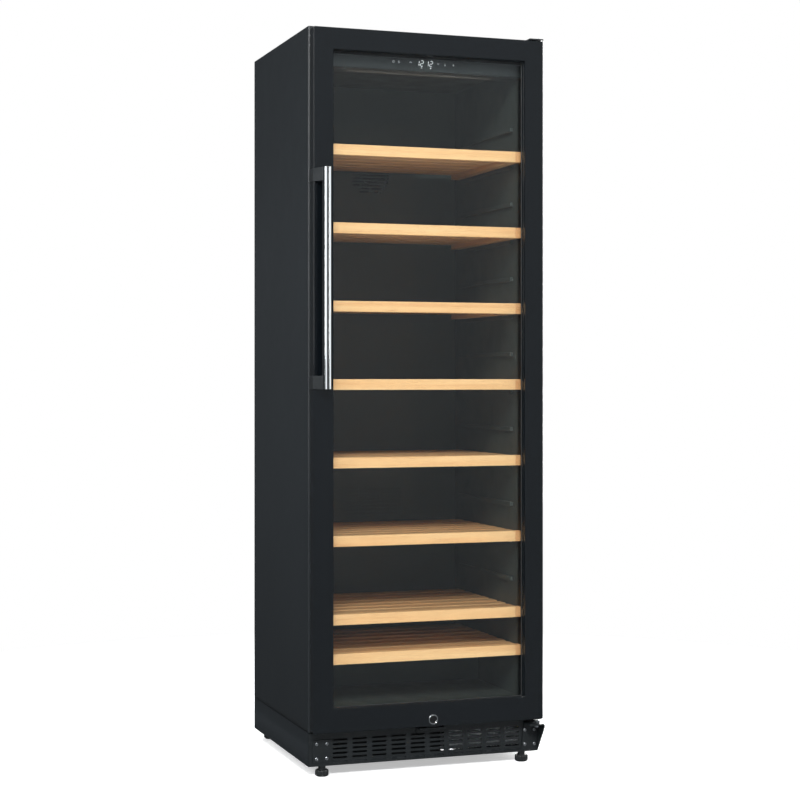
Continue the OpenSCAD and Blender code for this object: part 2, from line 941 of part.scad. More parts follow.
left_side_panel();
right_side_panel();
top_panel();
rear_panel();
base_tray();
machine_room_roof();
liner_left_wall();
liner_right_wall();
liner_back_wall();
liner_ceiling();
liner_floor();
insulation_foam();
door_flange();
shelf_supports();
control_panel();
display_marks();
light_strip();
air_duct_cover();
evaporator();
evaporator_fan_frame();
kick_grille();
blank_hinge_plate();
lower_hinge_bracket();
upper_hinge_plate();
hinge_pins();
bracket_screws();
lock_keeper();
compressor();
compressor_mounts();
condenser_coil();
condenser_fan_frame();
drain_tray();
refrigerant_pipes();
control_box();
cord_gland();
condenser_fan_rotor();
evaporator_fan_rotor();
foot_front_left();
foot_front_right();
foot_rear_left();
foot_rear_right();
lock_cylinder();
door_frame();
outer_glass();
inner_glass();
glass_spacer();
door_gasket();
door_inner_trim();
handle_bar();
handle_brackets();
lock_housing();
hinge_bushes();
shelf_1();
shelf_2();
shelf_3();
shelf_4();
shelf_5();
shelf_6();
shelf_7();
shelf_8();
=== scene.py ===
import math
import random

import bmesh
import bpy
from mathutils import Matrix, Vector


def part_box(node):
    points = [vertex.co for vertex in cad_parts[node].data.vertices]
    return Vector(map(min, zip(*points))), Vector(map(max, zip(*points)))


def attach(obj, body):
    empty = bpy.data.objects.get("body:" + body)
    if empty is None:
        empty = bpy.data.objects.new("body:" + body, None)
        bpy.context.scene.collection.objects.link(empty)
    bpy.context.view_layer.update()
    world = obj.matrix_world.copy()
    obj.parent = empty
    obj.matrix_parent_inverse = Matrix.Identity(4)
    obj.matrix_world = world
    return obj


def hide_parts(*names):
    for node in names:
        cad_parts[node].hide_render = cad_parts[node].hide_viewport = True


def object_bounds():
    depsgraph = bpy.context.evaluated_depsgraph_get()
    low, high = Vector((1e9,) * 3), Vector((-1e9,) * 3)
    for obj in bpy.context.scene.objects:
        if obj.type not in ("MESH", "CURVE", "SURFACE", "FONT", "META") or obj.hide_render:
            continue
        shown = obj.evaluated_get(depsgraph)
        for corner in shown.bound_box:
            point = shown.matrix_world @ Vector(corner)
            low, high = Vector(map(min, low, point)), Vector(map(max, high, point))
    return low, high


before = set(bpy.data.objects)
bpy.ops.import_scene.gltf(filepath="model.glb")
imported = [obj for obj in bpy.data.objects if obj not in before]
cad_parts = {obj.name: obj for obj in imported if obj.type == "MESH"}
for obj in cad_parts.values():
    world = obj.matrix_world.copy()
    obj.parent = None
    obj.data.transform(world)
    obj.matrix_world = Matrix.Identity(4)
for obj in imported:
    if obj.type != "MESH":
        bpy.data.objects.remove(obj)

CAD_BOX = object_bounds()
MM = 0.001
RNG = random.Random(7)


# ---- Places, all from the frame ----

FLOOR_Z = CAD_BOX[0].z
TOP_LO, TOP_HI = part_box("top_panel")
HALF_W = TOP_HI.x
DOOR_LO, DOOR_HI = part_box("door_frame")
GLASS_LO, GLASS_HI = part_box("outer_glass")
MARKS_LO, MARKS_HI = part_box("display_marks")
PANE_LAP = 15 * MM  # how far the pane reaches under the frame
OPEN_X = GLASS_HI.x - PANE_LAP
OPEN_Z0 = GLASS_LO.z + PANE_LAP
OPEN_Z1 = GLASS_HI.z - PANE_LAP


# ---- Mesh helpers ----

def rect_loop(half_x, z0, z1, y, radius, steps=5, x_mid=0.0):
    """Points round a rectangle in the XZ plane with rounded corners, anticlockwise from the right."""
    radius = max(radius, 0.05 * MM)
    points = []
    corners = [(half_x, z1, 0), (-half_x, z1, 90), (-half_x, z0, 180), (half_x, z0, 270)]
    for x, z, start in corners:
        cx = x - math.copysign(radius, x)
        cz = z - radius if z == z1 else z + radius
        for i in range(steps + 1):
            a = math.radians(start + 90 * i / steps)
            points.append(Vector((x_mid + cx + radius * math.cos(a), y, cz + radius * math.sin(a))))
    return points


def skin_loops(bm, loops, closed=False, caps=False):
    """Faces between neighbouring loops of equally many points."""
    rows = [[bm.verts.new(p) for p in loop] for loop in loops]
    pairs = list(zip(rows, rows[1:]))
    if closed:
        pairs.append((rows[-1], rows[0]))
    for a, b in pairs:
        n = len(a)
        for i in range(n):
            j = (i + 1) % n
            bm.faces.new((a[i], a[j], b[j], b[i]))
    if caps:
        bm.faces.new(rows[0][::-1])
        bm.faces.new(rows[-1])


def add_box(bm, lo, hi):
    """A box from one corner to the other."""
    made = bmesh.ops.create_cube(bm, size=1.0)["verts"]
    lo, hi = Vector(lo), Vector(hi)
    bmesh.ops.scale(bm, verts=made, vec=hi - lo)
    bmesh.ops.translate(bm, verts=made, vec=(lo + hi) / 2)
    return made


def add_prism(bm, outline, axis, a, b):
    """A flat outline pushed along an axis. The outline's pairs are the two other axes in order."""
    def place(p, t):
        spots = {"x": (t, p[0], p[1]), "y": (p[0], t, p[1]), "z": (p[0], p[1], t)}
        return Vector(spots[axis])

    skin_loops(bm, [[place(p, a) for p in outline], [place(p, b) for p in outline]], caps=True)


def add_lathe(bm, profile, centre, axis="z", steps=32, arc=None):
    """A turned shape. The profile's pairs are radius and distance along the axis."""
    def place(r, t, a):
        c, s = r * math.cos(a), r * math.sin(a)
        p = {"z": (c, s, t), "y": (c, t, s), "x": (t, c, s)}[axis]
        return Vector(centre) + Vector(p)
    rows = []
    for r, t in profile:
        if r < 1e-7:
            rows.append([bm.verts.new(place(0, t, 0))])
        else:
            rows.append([bm.verts.new(place(r * (arc(a) if arc else 1), t, a))
                         for a in (2 * math.pi * i / steps for i in range(steps))])
    for low, high in zip(rows, rows[1:]):
        for i in range(steps):
            j = (i + 1) % steps
            quad = [low[i % len(low)], low[j % len(low)], high[j % len(high)], high[i % len(high)]]
            unique = list(dict.fromkeys(quad))
            if len(unique) > 2:
                bm.faces.new(unique)


def add_tube(bm, points, radius, steps=12, caps=True):
    """A round tube along a line of points."""
    points = [Vector(p) for p in points]
    loops = []
    side = None
    for i, p in enumerate(points):
        ahead = (points[min(i + 1, len(points) - 1)] - points[max(i - 1, 0)]).normalized()
        if side is None:
            side = ahead.orthogonal().normalized()
        side = (side - ahead * side.dot(ahead)).normalized()
        up = ahead.cross(side)
        loops.append([p + radius * (side * math.cos(a) + up * math.sin(a))
                      for a in (2 * math.pi * k / steps for k in range(steps))])
    skin_loops(bm, loops, caps=caps)


def smooth_path(corners, bend, steps=6):
    """A line through corners, each rounded by an arc that starts a distance of bend before it."""
    corners = [Vector(c) for c in corners]
    path = [corners[0]]
    for before, here, after in zip(corners, corners[1:], corners[2:]):
        start = here + (before - here).normalized() * bend
        end = here + (after - here).normalized() * bend
        for i in range(steps + 1):
            t = i / steps
            path.append(start * (1 - t) ** 2 + here * 2 * t * (1 - t) + end * t * t)
    path.append(corners[-1])
    return path


def rounded(outline, radius, steps=5):
    """A flat outline with its corners rounded."""
    made = []
    n = len(outline)
    for i, here in enumerate(outline):
        here = Vector(here)
        before, after = Vector(outline[i - 1]), Vector(outline[(i + 1) % n])
        reach = min(radius, (before - here).length / 2.1, (after - here).length / 2.1)
        a = here + (before - here).normalized() * reach
        b = here + (after - here).normalized() * reach
        for k in range(steps + 1):
            t = k / steps
            made.append(tuple(a * (1 - t) ** 2 + here * 2 * t * (1 - t) + b * t * t))
    return made


def put_in_scene(obj):
    bpy.context.scene.collection.objects.link(obj)


def sharpen(bm, angle):
    """Smooth faces with a crease along every edge that turns by more than the angle."""
    for f in bm.faces:
        f.smooth = True
    for e in bm.edges:
        if len(e.link_faces) == 2:
            e.smooth = e.calc_face_angle(0.0) < math.radians(angle)


def piece(name, bm, material, body, replaces=(), slot=None, bevel=0.0, segments=2, angle=35,
          materials=()):
    """Turns the mesh into an object that rides on a body, with its edges rounded by the bevel."""
    bmesh.ops.remove_doubles(bm, verts=bm.verts, dist=1e-6)
    bmesh.ops.recalc_face_normals(bm, faces=bm.faces)
    sharpen(bm, angle)
    data = bpy.data.meshes.new(name)
    bm.to_mesh(data)
    bm.free()
    obj = bpy.data.objects.new(name, data)
    put_in_scene(obj)
    for m in [material, *materials]:
        data.materials.append(m)
    if bevel:
        round_edges(obj, bevel, segments, angle)
    else:
        flat = obj.modifiers.new("flat", "WEIGHTED_NORMAL")
        flat.keep_sharp = True
    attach(obj, body)
    if replaces:
        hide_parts(*replaces)
    return obj


def round_edges(obj, width, segments=2, angle=35):
    """Rounds an object's edges and keeps its flat faces flat to the eye."""
    mod = obj.modifiers.new("rounded", "BEVEL")
    mod.width = width
    mod.segments = segments
    mod.limit_method = "ANGLE"
    mod.angle_limit = math.radians(angle)
    mod.harden_normals = True
    mod.use_clamp_overlap = True
    mod.miter_outer = "MITER_ARC"


def mesh_of(bm):
    """The mesh data of a closed bmesh, which it frees."""
    data = bpy.data.meshes.new("part")
    bmesh.ops.recalc_face_normals(bm, faces=bm.faces)
    bm.to_mesh(data)
    bm.free()
    return data


def carve(data, cutter):
    """The first mesh with the second taken out of it."""
    objs = [bpy.data.objects.new("carve", d) for d in (data, cutter)]
    for o in objs:
        put_in_scene(o)
    mod = objs[0].modifiers.new("cut", "BOOLEAN")
    mod.operation = "DIFFERENCE"
    mod.solver = "EXACT"
    mod.object = objs[1]
    bpy.context.view_layer.update()
    made = bpy.data.meshes.new_from_object(objs[0].evaluated_get(bpy.context.evaluated_depsgraph_get()))
    for o in objs:
        bpy.data.objects.remove(o)
    return made


# ---- Materials ----

def srgb(r, g, b):
    """A colour given as screen values from 0 to 255, as linear light."""
    def linear(c):
        c = c / 255
        return c / 12.92 if c <= 0.04045 else ((c + 0.055) / 1.055) ** 2.4
    return (linear(r), linear(g), linear(b), 1.0)


class Shader:
    """A material with one Principled shader and short ways to wire textures into it."""

    def __init__(self, name, **sockets):
        self.material = bpy.data.materials.new(name)
        self.material.use_nodes = True
        self.tree = self.material.node_tree
        self.bsdf = self.tree.nodes["Principled BSDF"]
        for key, value in sockets.items():
            self.bsdf.inputs[key.replace("_", " ")].default_value = value
        self.coords = self.node("ShaderNodeTexCoord").outputs["Object"]

    def node(self, kind, **values):
        n = self.tree.nodes.new(kind)
        for key, value in values.items():
            setattr(n, key, value)
        return n

    def link(self, a, b):
        self.tree.links.new(a, b)

    def stretched(self, stretch):
        """Object coordinates, scaled along each axis."""
        m = self.node("ShaderNodeMapping")
        m.inputs["Scale"].default_value = stretch
        self.link(self.coords, m.inputs["Vector"])
        return m.outputs["Vector"]

    def noise(self, scale, detail=3.0, stretch=(1, 1, 1), distortion=0.0):
        n = self.node("ShaderNodeTexNoise")
        n.inputs["Scale"].default_value = scale
        n.inputs["Detail"].default_value = detail
        n.inputs["Distortion"].default_value = distortion
        self.link(self.stretched(stretch), n.inputs["Vector"])
        return n.outputs["Fac"]

    def ramp(self, fac, *stops):
        """Colours by place along a factor; each stop is a place and a colour."""
        r = self.node("ShaderNodeValToRGB")
        for i, (place, colour) in enumerate(stops):
            e = r.color_ramp.elements[i] if i < 2 else r.color_ramp.elements.new(place)
            e.position = place
            e.color = colour
        self.link(fac, r.inputs["Fac"])
        return r.outputs["Color"]

    def spread(self, fac, low, high, start=0.3, end=0.7):
        """Maps the middle of a noise's range to a range of values."""
        m = self.node("ShaderNodeMapRange")
        for key, value in (("From Min", start), ("From Max", end), ("To Min", low), ("To Max", high)):
            m.inputs[key].default_value = value
        self.link(fac, m.inputs["Value"])
        return m.outputs["Result"]

    def bump(self, height, distance, strength=1.0, under=None):
        b = self.node("ShaderNodeBump")
        b.inputs["Strength"].default_value = strength
        b.inputs["Distance"].default_value = distance
        self.link(height, b.inputs["Height"])
        if under:
            self.link(under, b.inputs["Normal"])
        return b.outputs["Normal"]

    def times(self, colour):
        """A node that multiplies a colour by its input B."""
        n = self.node("ShaderNodeMix", data_type="RGBA", blend_type="MULTIPLY")
        n.inputs["Factor"].default_value = 1.0
        self.link(colour, n.inputs["A"])
        return n

    def use(self, socket, source):
        self.link(source, self.bsdf.inputs[socket])


def finish_of(name, colour, drift, rough, grain, bump, cloud=7.0, stretch=(1, 1, 1), **sockets):
    """A finish whose colour drifts over the surface, with a grain in its roughness and relief."""
    s = Shader(name, **sockets)
    s.use("Base Color", s.ramp(s.noise(cloud, 4.0, stretch), (0.3, colour), (0.7, drift)))
    fine = s.noise(grain, 2.0, stretch)
    s.use("Roughness", s.spread(s.noise(cloud * 3, 5.0, stretch), *rough))
    s.use("Normal", s.bump(fine, bump))
    return s.material


def wood(name, stretch, pores, tint=(1, 1, 1, 1)):
    """Beech: long soft grain, short dark flecks, and each board cut from another part of the tree."""
    s = Shader(name, Specular_IOR_Level=0.35)
    board = s.node("ShaderNodeAttribute", attribute_name="board")
    shift = s.node("ShaderNodeVectorMath", operation="MULTIPLY")
    shift.inputs[1].default_value = (3.7, 5.3, 7.1)
    s.link(board.outputs["Fac"], shift.inputs[0])
    add = s.node("ShaderNodeVectorMath", operation="ADD")
    s.link(s.coords, add.inputs[0])
    s.link(shift.outputs["Vector"], add.inputs[1])
    s.coords = add.outputs["Vector"]
    rings = s.noise(1.0, 3.0, stretch, 0.6)
    flecks = s.noise(1.0, 2.0, pores)
    pale, middle, deep = srgb(252, 205, 148), srgb(247, 194, 135), srgb(233, 172, 112)
    grain = s.times(s.ramp(rings, (0.3, pale), (0.55, middle), (0.75, deep)))
    s.link(s.ramp(flecks, (0.60, (1, 1, 1, 1)), (0.72, (0.80, 0.70, 0.60, 1))), grain.inputs["B"])
    # The tint multiplies the grain's colour; on the slats and runners it darkens them as painted shade.
    tinted = s.times(grain.outputs["Result"])
    tinted.inputs["B"].default_value = tint
    s.use("Base Color", tinted.outputs["Result"])
    s.use("Roughness", s.spread(rings, 0.42, 0.58))
    s.use("Normal", s.bump(flecks, 0.00012, 0.6))
    return s.material


def glow(name, colour, strength, colour_off):
    """A lit diffuser with faint unevenness."""
    s = Shader(name, Base_Color=colour_off, Emission_Color=colour, Emission_Strength=strength)
    s.use("Roughness", s.spread(s.noise(60), 0.35, 0.5))
    return s.material


def pane_glass(name, tint, gloss):
    """Thin glass: it lets light straight through and mirrors more towards grazing angles."""
    s = Shader(name)
    clear = s.node("ShaderNodeBsdfTransparent")
    clear.inputs["Color"].default_value = tint
    mirror = s.node("ShaderNodeBsdfGlossy")
    mirror.inputs["Roughness"].default_value = gloss
    mirror.inputs["Color"].default_value = (0.9, 0.93, 0.95, 1)
    facing = s.node("ShaderNodeLayerWeight")
    facing.inputs["Blend"].default_value = 0.5
    grazing = s.node("ShaderNodeMath", operation="POWER")
    grazing.inputs[1].default_value = 5
    s.link(facing.outputs["Facing"], grazing.inputs[0])
    mix = s.node("ShaderNodeMixShader")
    s.link(s.spread(grazing.outputs["Value"], 0.022, 1.0, 0.0, 1.0), mix.inputs["Fac"])
    s.link(clear.outputs["BSDF"], mix.inputs[1])
    s.link(mirror.outputs["BSDF"], mix.inputs[2])
    s.link(s.bump(s.noise(4.0, 1.0), 0.00004), mirror.inputs["Normal"])
    s.tree.nodes.remove(s.bsdf)
    s.link(mix.outputs["Shader"], s.tree.nodes["Material Output"].inputs["Surface"])
    return s.material


def spangled(name, colour, dark):
    """Galvanised sheet: irregular crystals of slightly different brightness."""
    s = Shader(name, Metallic=1.0)
    cells = s.node("ShaderNodeTexVoronoi")
    cells.inputs["Scale"].default_value = 90
    s.link(s.coords, cells.inputs["Vector"])
    tone = s.node("ShaderNodeSeparateColor")
    s.link(cells.outputs["Color"], tone.inputs["Color"])
    s.use("Base Color", s.ramp(tone.outputs["Red"], (0.0, dark), (1.0, colour)))
    s.use("Roughness", s.spread(tone.outputs["Green"], 0.32, 0.5, 0.0, 1.0))
    s.use("Normal", s.bump(s.noise(300), 0.00004))
    return s.material


PAINT = finish_of("satin_black_paint", srgb(19, 23, 26), srgb(21, 25, 28), (0.38, 0.43), 900, 0.00002,
                  cloud=2.5, Specular_IOR_Level=0.4)
GLOSS = finish_of("gloss_black_frame", srgb(6, 9, 12), srgb(8, 11, 14), (0.10, 0.13), 500, 0.000004,
                  cloud=2.5, Specular_IOR_Level=0.5)
FLANGE = finish_of("flange_plastic", srgb(20, 22, 23), srgb(24, 26, 27), (0.36, 0.46), 1400, 0.00003)
LINER = finish_of("liner_plastic", srgb(60, 66, 63), srgb(64, 70, 66), (0.40, 0.52), 1100, 0.00006)
PANEL = finish_of("panel_plastic", srgb(36, 40, 40), srgb(39, 43, 43), (0.30, 0.40), 1300, 0.00003)
PLINTH = finish_of("plinth_paint", srgb(15, 19, 21), srgb(18, 22, 24), (0.40, 0.48), 900, 0.00003,
                   Specular_IOR_Level=0.35)
RUBBER = finish_of("black_rubber", srgb(20, 21, 22), srgb(26, 27, 28), (0.6, 0.75), 700, 0.00005)
KNOB = finish_of("foot_plastic", srgb(22, 24, 25), srgb(28, 30, 31), (0.28, 0.4), 900, 0.00003)
CHROME = finish_of("polished_chrome", (0.88, 0.90, 0.91, 1), (0.85, 0.87, 0.88, 1), (0.06, 0.10), 800,
                   0.000001, stretch=(1, 1, 0.02), Metallic=1.0)
BRACKET = finish_of("bracket_metal", srgb(34, 37, 39), srgb(40, 43, 45), (0.35, 0.45), 900, 0.00002,
                    Metallic=0.4)
STEEL = finish_of("bright_steel", srgb(190, 193, 196), srgb(168, 172, 175), (0.22, 0.34), 1200, 0.00001,
                  Metallic=1.0)
DARK_STEEL = finish_of("dark_steel", srgb(48, 50, 52), srgb(60, 62, 64), (0.3, 0.42), 900, 0.00002,
                       Metallic=0.7)
FIN = finish_of("fin_aluminium", srgb(226, 229, 232), srgb(206, 210, 213), (0.35, 0.5), 900, 0.00002,
                Metallic=0.35)
COPPER = finish_of("copper_tube", srgb(201, 128, 84), srgb(158, 92, 60), (0.25, 0.42), 700, 0.00002,
                   cloud=22.0, Metallic=1.0)
BUSH = finish_of("bush_plastic", srgb(214, 214, 208), srgb(205, 205, 198), (0.4, 0.5), 900, 0.00003)
FOAM = finish_of("foam", srgb(214, 198, 140), srgb(199, 181, 122), (0.8, 0.9), 250, 0.0004)
COMPRESSOR_PAINT = finish_of("compressor_paint", srgb(26, 27, 28), srgb(34, 35, 36), (0.3, 0.45), 500,
                             0.00006)
SPACER = finish_of("spacer_metal", srgb(28, 30, 32), srgb(36, 38, 40), (0.4, 0.5), 900, 0.00003,
                   Metallic=0.4)
# The base tray's zinc sheet is made darker than the galvanised sheet: painted shade behind the kick
# grille.
ZINC_PAINTED_SHADE = spangled("zinc_sheet_painted_shade", srgb(92, 95, 97), srgb(68, 71, 73))
GALVANISED = spangled("galvanised_sheet", srgb(150, 154, 157), srgb(112, 116, 120))
BEECH = wood("beech_across", (2.0, 60, 60), (30, 900, 900))
# The slats and runners take the same beech tinted darker than the front board: painted shade inside the
# cabinet.
BEECH_SLAT_SHADED = wood("beech_slat_painted_shade", (2.0, 60, 60), (30, 900, 900), (0.70, 0.68, 0.66, 1))
BEECH_RUNNER_SHADED = wood("beech_runner_painted_shade", (60, 2.0, 60), (900, 30, 900), (0.70, 0.68, 0.66, 1))
BEECH_END = wood("beech_end", (2.0, 60, 60), (30, 900, 900), (0.88, 0.76, 0.70, 1))
GLASS = pane_glass("door_glass", (0.935, 0.943, 0.943, 1), 0.01)
LOCK_BLACK = finish_of("lock_black", srgb(9, 10, 11), srgb(13, 14, 15), (0.2, 0.3), 900, 0.00001)
SCREW = finish_of("screw_steel", srgb(150, 153, 156), srgb(120, 123, 126), (0.25, 0.35), 900, 0.00001,
                  Metallic=0.9)
LENS = glow("light_lens", (1.0, 0.80, 0.55, 1), 0.02, (0.12, 0.12, 0.115, 1))
DISPLAY = glow("display_white", (0.95, 0.98, 1.0, 1), 1.5, (0.9, 0.9, 0.9, 1))
DISPLAY_DIM = glow("display_dim", (0.85, 0.9, 0.92, 1), 0.5, (0.7, 0.7, 0.7, 1))


# ---- Outer skin ----

def side_panel(name, side):
    """A folded sheet: the side wall, a rounded fold at the front and a narrow return."""
    lo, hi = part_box(name)
    sheet, fold, return_w = 1.2 * MM, 4.2 * MM, 17.8 * MM
    outer = side * HALF_W
    inner = outer - side * sheet
    arc_out, arc_in = [], []
    for i in range(10):
        a = math.radians(90 * i / 9)
        arc_out.append((outer - side * fold * (1 - math.cos(a)), lo.y + fold * (1 - math.sin(a))))
        arc_in.append((outer - side * (fold - (fold - sheet) * math.cos(a)),
                       lo.y + fold - (fold - sheet) * math.sin(a)))
    edge = outer - side * return_w
    folded = ([(outer, hi.y)] + arc_out + [(edge, lo.y), (edge, lo.y + sheet)] + arc_in[::-1]
              + [(inner, hi.y)])
    plain = [(outer, hi.y), (outer, lo.y + fold), (outer - side * sheet / 2, lo.y + sheet),
             (inner, lo.y + fold), (inner, hi.y)]
    return_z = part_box("door_flange")[0].z
    bm = bmesh.new()
    add_prism(bm, folded, "z", return_z, hi.z)
    add_prism(bm, plain, "z", lo.z, return_z)
    piece(name + "_skin", bm, PAINT, "cabinet", [name], "cabinet_paint", angle=50)


def top_panel():
    """The top sheet with a rounded upper edge, and a lip that closes the front between the walls."""
    sheet, radius, corner, return_w = 1.2 * MM, 1.15 * MM, 3 * MM, 18.2 * MM
    top, under = TOP_HI.z, TOP_HI.z - sheet
    y_mid = (TOP_LO.y + TOP_HI.y) / 2
    half_y = (TOP_HI.y - TOP_LO.y) / 2
    bm = bmesh.new()
    loops = []
    for z, inset in ((under, 0), (top - radius, 0), (top - 0.35 * radius, 0.3 * radius), (top, radius)):
        ring = rect_loop(HALF_W - inset, -half_y + inset, half_y - inset, 0, corner)
        loops.append([Vector((p.x, y_mid + p.z, z)) for p in ring])
    skin_loops(bm, loops, caps=True)
    lip_x = HALF_W - return_w
    add_box(bm, (-lip_x, TOP_LO.y, TOP_LO.z), (lip_x, TOP_LO.y + sheet, under))
    piece("top_panel_cover", bm, PAINT, "cabinet", ["top_panel"], "cabinet_paint", angle=40)


def rear_panel():
    """The back sheet with two pressed rims that stiffen it."""
    lo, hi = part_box("rear_panel")
    press, sunk, margin, rail, corner = 0.9 * MM, 0.1 * MM, 60 * MM, 40 * MM, 30 * MM
    sheet_y = hi.y - press
    mid_z = (lo.z + hi.z) / 2
    half = hi.x - margin
    bm = bmesh.new()
    add_box(bm, lo, (hi.x, sheet_y, hi.z))
    ridge = [(0, sheet_y - sunk), (0, sheet_y), (4 * MM, hi.y), (16 * MM, hi.y), (20 * MM, sheet_y),
             (20 * MM, sheet_y - sunk)]
    for z0, z1 in ((lo.z + margin, mid_z - rail), (mid_z + rail, hi.z - margin)):
        loops = [rect_loop(half - dx, z0 + dx, z1 - dx, y, corner - dx) for dx, y in ridge]
        skin_loops(bm, loops, closed=True)
    piece("rear_panel_sheet", bm, PAINT, "cabinet", ["rear_panel"], "cabinet_paint")


# ---- Door ----

def ring_of(name, stations, material, body, **options):
    """A ring round the door. A station is an edge to start from, an inset, a depth and a radius."""
    bm = bmesh.new()
    loops = []
    for base, inset, y, radius in stations:
        if base == "door":
            loops.append(rect_loop(DOOR_HI.x - inset, DOOR_LO.z + inset, DOOR_HI.z - inset, y, radius))
        else:
            loops.append(rect_loop(OPEN_X + inset, OPEN_Z0 - inset, OPEN_Z1 + inset, y, radius))
    skin_loops(bm, loops, closed=True)
    piece(name, bm, material, body, **options)


def door_frame():
    """The gloss channel round the glass: eased outer edge, reveal, and a stepped bead on the pane."""
    front, back = DOOR_LO.y, DOOR_HI.y
    edge, skin, wall = 1.4 * MM, 3 * MM, 4 * MM
    glass = GLASS_LO.y - 0.05 * MM
    bead_y = GLASS_LO.y - 8.5 * MM
    stations = [("door", 0, back, 3 * MM), ("door", 0, front + edge, 3 * MM)]
    for i in range(1, 5):
        a = math.radians(90 * i / 5)
        stations.append(("door", edge * (1 - math.cos(a)), front + edge * (1 - math.sin(a)), 2.6 * MM))
    stations.append(("door", edge, front, 2 * MM))
    reveal = [(0.9, front, 1.2), (0.3, front + 0.3 * MM, 0.9), (0, front + 0.9 * MM, 0.7),
              (0, bead_y, 0.7)]
    bead = [(-0.5, bead_y + 0.15 * MM, 1.2), (-1.4, bead_y + 0.8 * MM, 1.8),
            (-1.8, bead_y + 2.0 * MM, 2.0), (-1.8, glass, 2.0)]
    stations += [("open", inset * MM, y, radius * MM) for inset, y, radius in reveal + bead]
    stations += [("open", wall, glass, 4 * MM), ("open", wall, front + skin, 4 * MM),
                 ("door", skin, front + skin, 1.5 * MM), ("door", skin, back, 1.5 * MM)]
    ring_of("door_frame_channel", stations, GLOSS, "door", replaces=["door_frame"], slot="door_gloss",
            angle=32)


def door_gasket():
    """A magnetic seal: a root in the trim, a bellows fold and the flat magnet tube on the flange."""
    lo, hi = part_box("door_gasket")
    front, back = lo.y, hi.y
    depth = back - front
    base = DOOR_HI.x - hi.x
    width, corner, taper = 23 * MM, 10 * MM, 4 * MM
    section = [(0.10, 0), (0.02, 0.25), (0.16, 0.42), (0.03, 0.60), (0.0, 0.78), (0.03, 0.96),
               (0.10, 1.0), (0.90, 1.0), (0.97, 0.96), (1.0, 0.78), (0.97, 0.60), (0.84, 0.42),
               (0.98, 0.25), (0.90, 0)]
    stations = [("door", base + u * width, front + v * depth, corner - taper * u) for u, v in section]
    ring_of("door_gasket_seal", stations, RUBBER, "door", replaces=["door_gasket"], slot="gasket_rubber",
            angle=60)


def glazing_seal():
    """A thin rubber line between the glass and the frame's bead."""
    corner = 2 * MM
    section = [(0, 0.02), (-1.9, 0.02), (-2.9, 0.5), (-2.4, 1.2), (-1.7, 1.4), (0, 1.4)]
    stations = [("open", inset * MM, GLASS_LO.y - proud * MM, corner) for inset, proud in section]
    ring_of("glazing_seal", stations, RUBBER, "door", slot="gasket_rubber", angle=60)


def handle():
    """Two polished ridges with a groove between them, on a bar with eased edges."""
    lo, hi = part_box("handle_bar")
    mid = (lo.x + hi.x) / 2
    groove, deep, r = 1.8 * MM, 3.4 * MM, 2.2 * MM
    half = []
    for cx, start in ((hi.x - r, 0), (mid + groove + r, 90)):
        for i in range(5):
            a = math.radians(start + 90 * i / 4)
            half.append((cx + r * math.cos(a), lo.y + r - r * math.sin(a)))
    half.append((mid + groove, lo.y + deep))
    back_ease, end_ease, end_scale = 1 * MM, 0.6 * MM, 0.94
    right = [(hi.x - back_ease, hi.y), (hi.x, hi.y - back_ease), *half]
    outline = right + [(2 * mid - x, y) for x, y in right[::-1]]
    mid_y = (lo.y + hi.y) / 2
    bm = bmesh.new()
    loops = []
    for z, k in ((lo.z, end_scale), (lo.z + end_ease, 1), (hi.z - end_ease, 1), (hi.z, end_scale)):
        loops.append([Vector((mid + (x - mid) * k, mid_y + (y - mid_y) * k, z)) for x, y in outline])
    skin_loops(bm, loops, caps=True)
    bmesh.ops.recalc_face_normals(bm, faces=bm.faces)
    for f in bm.faces:
        in_groove = abs(f.calc_center_median().x - mid) < groove + 0.1 * r
        if f.normal.y > -0.1 or in_groove:
            f.material_index = 1
    piece("handle_bar_chrome", bm, CHROME, "door", ["handle_bar"], "handle_chrome", angle=40,
          materials=[BRACKET])


def lock():
    """A black bezel with a polished rim."""
    lo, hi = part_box("lock_housing")
    x, z = (lo.x + hi.x) / 2, (lo.z + hi.z) / 2
    r = (hi.x - lo.x) / 2
    door_front = DOOR_LO.y
    proud = lo.y - door_front
    bore, body_r = 6.05 * MM, 9.5 * MM
    rear = hi.y - door_front
    profile = [(bore, rear), (bore, proud + 1.4 * MM), (bore + 1.2 * MM, proud + 1.0 * MM),
               (r - 2.0 * MM, proud + 0.7 * MM), (r - 0.8 * MM, proud + 0.7 * MM),
               (r - 0.4 * MM, proud + 1.2 * MM), (r - 0.4 * MM, 0), (body_r, 0), (body_r, rear),
               (bore, rear)]
    bm = bmesh.new()
    add_lathe(bm, profile, (x, door_front, z), "y", 48)
    piece("lock_bezel", bm, LOCK_BLACK, "door", ["lock_housing"], "lock_black", angle=30)
    bm = bmesh.new()
    tube = 0.7 * MM
    section = [(r - 0.8 * MM + tube * math.cos(a), proud + 0.75 * MM + tube * math.sin(a))
               for a in (2 * math.pi * i / 12 for i in range(13))]
    add_lathe(bm, section, (x, door_front, z), "y", 48)
    piece("lock_bezel_ring", bm, CHROME, "door", slot="lock_metal", angle=60)


# ---- Screws ----

def cross_screw(radius, height):
    """A pan-head screw facing -Y at the origin, with a tapered cross recess."""
    bm = bmesh.new()
    profile = [(0, 0), (radius, 0), (radius, -0.35 * height)]
    for i in range(1, 7):
        a = math.radians(90 * i / 6)
        profile.append((radius * math.cos(a), -height * (0.35 + 0.65 * math.sin(a))))
    add_lathe(bm, profile, (0, 0, 0), "y", 32)
    head = mesh_of(bm)
    reach, deep, wide = 0.6 * radius, 0.75 * height, 0.16 * radius
    for turn in (0, math.pi / 2):
        bm = bmesh.new()
        made = add_box(bm, (-reach, -1.2 * height, -wide), (reach, -height + deep, wide))
        for v in made:
            if v.co.y > -height:
                v.co.x *= 0.45
        bmesh.ops.rotate(bm, verts=made, cent=(0, 0, 0), matrix=Matrix.Rotation(turn, 3, "Y"))
        head = carve(head, mesh_of(bm))
    return head


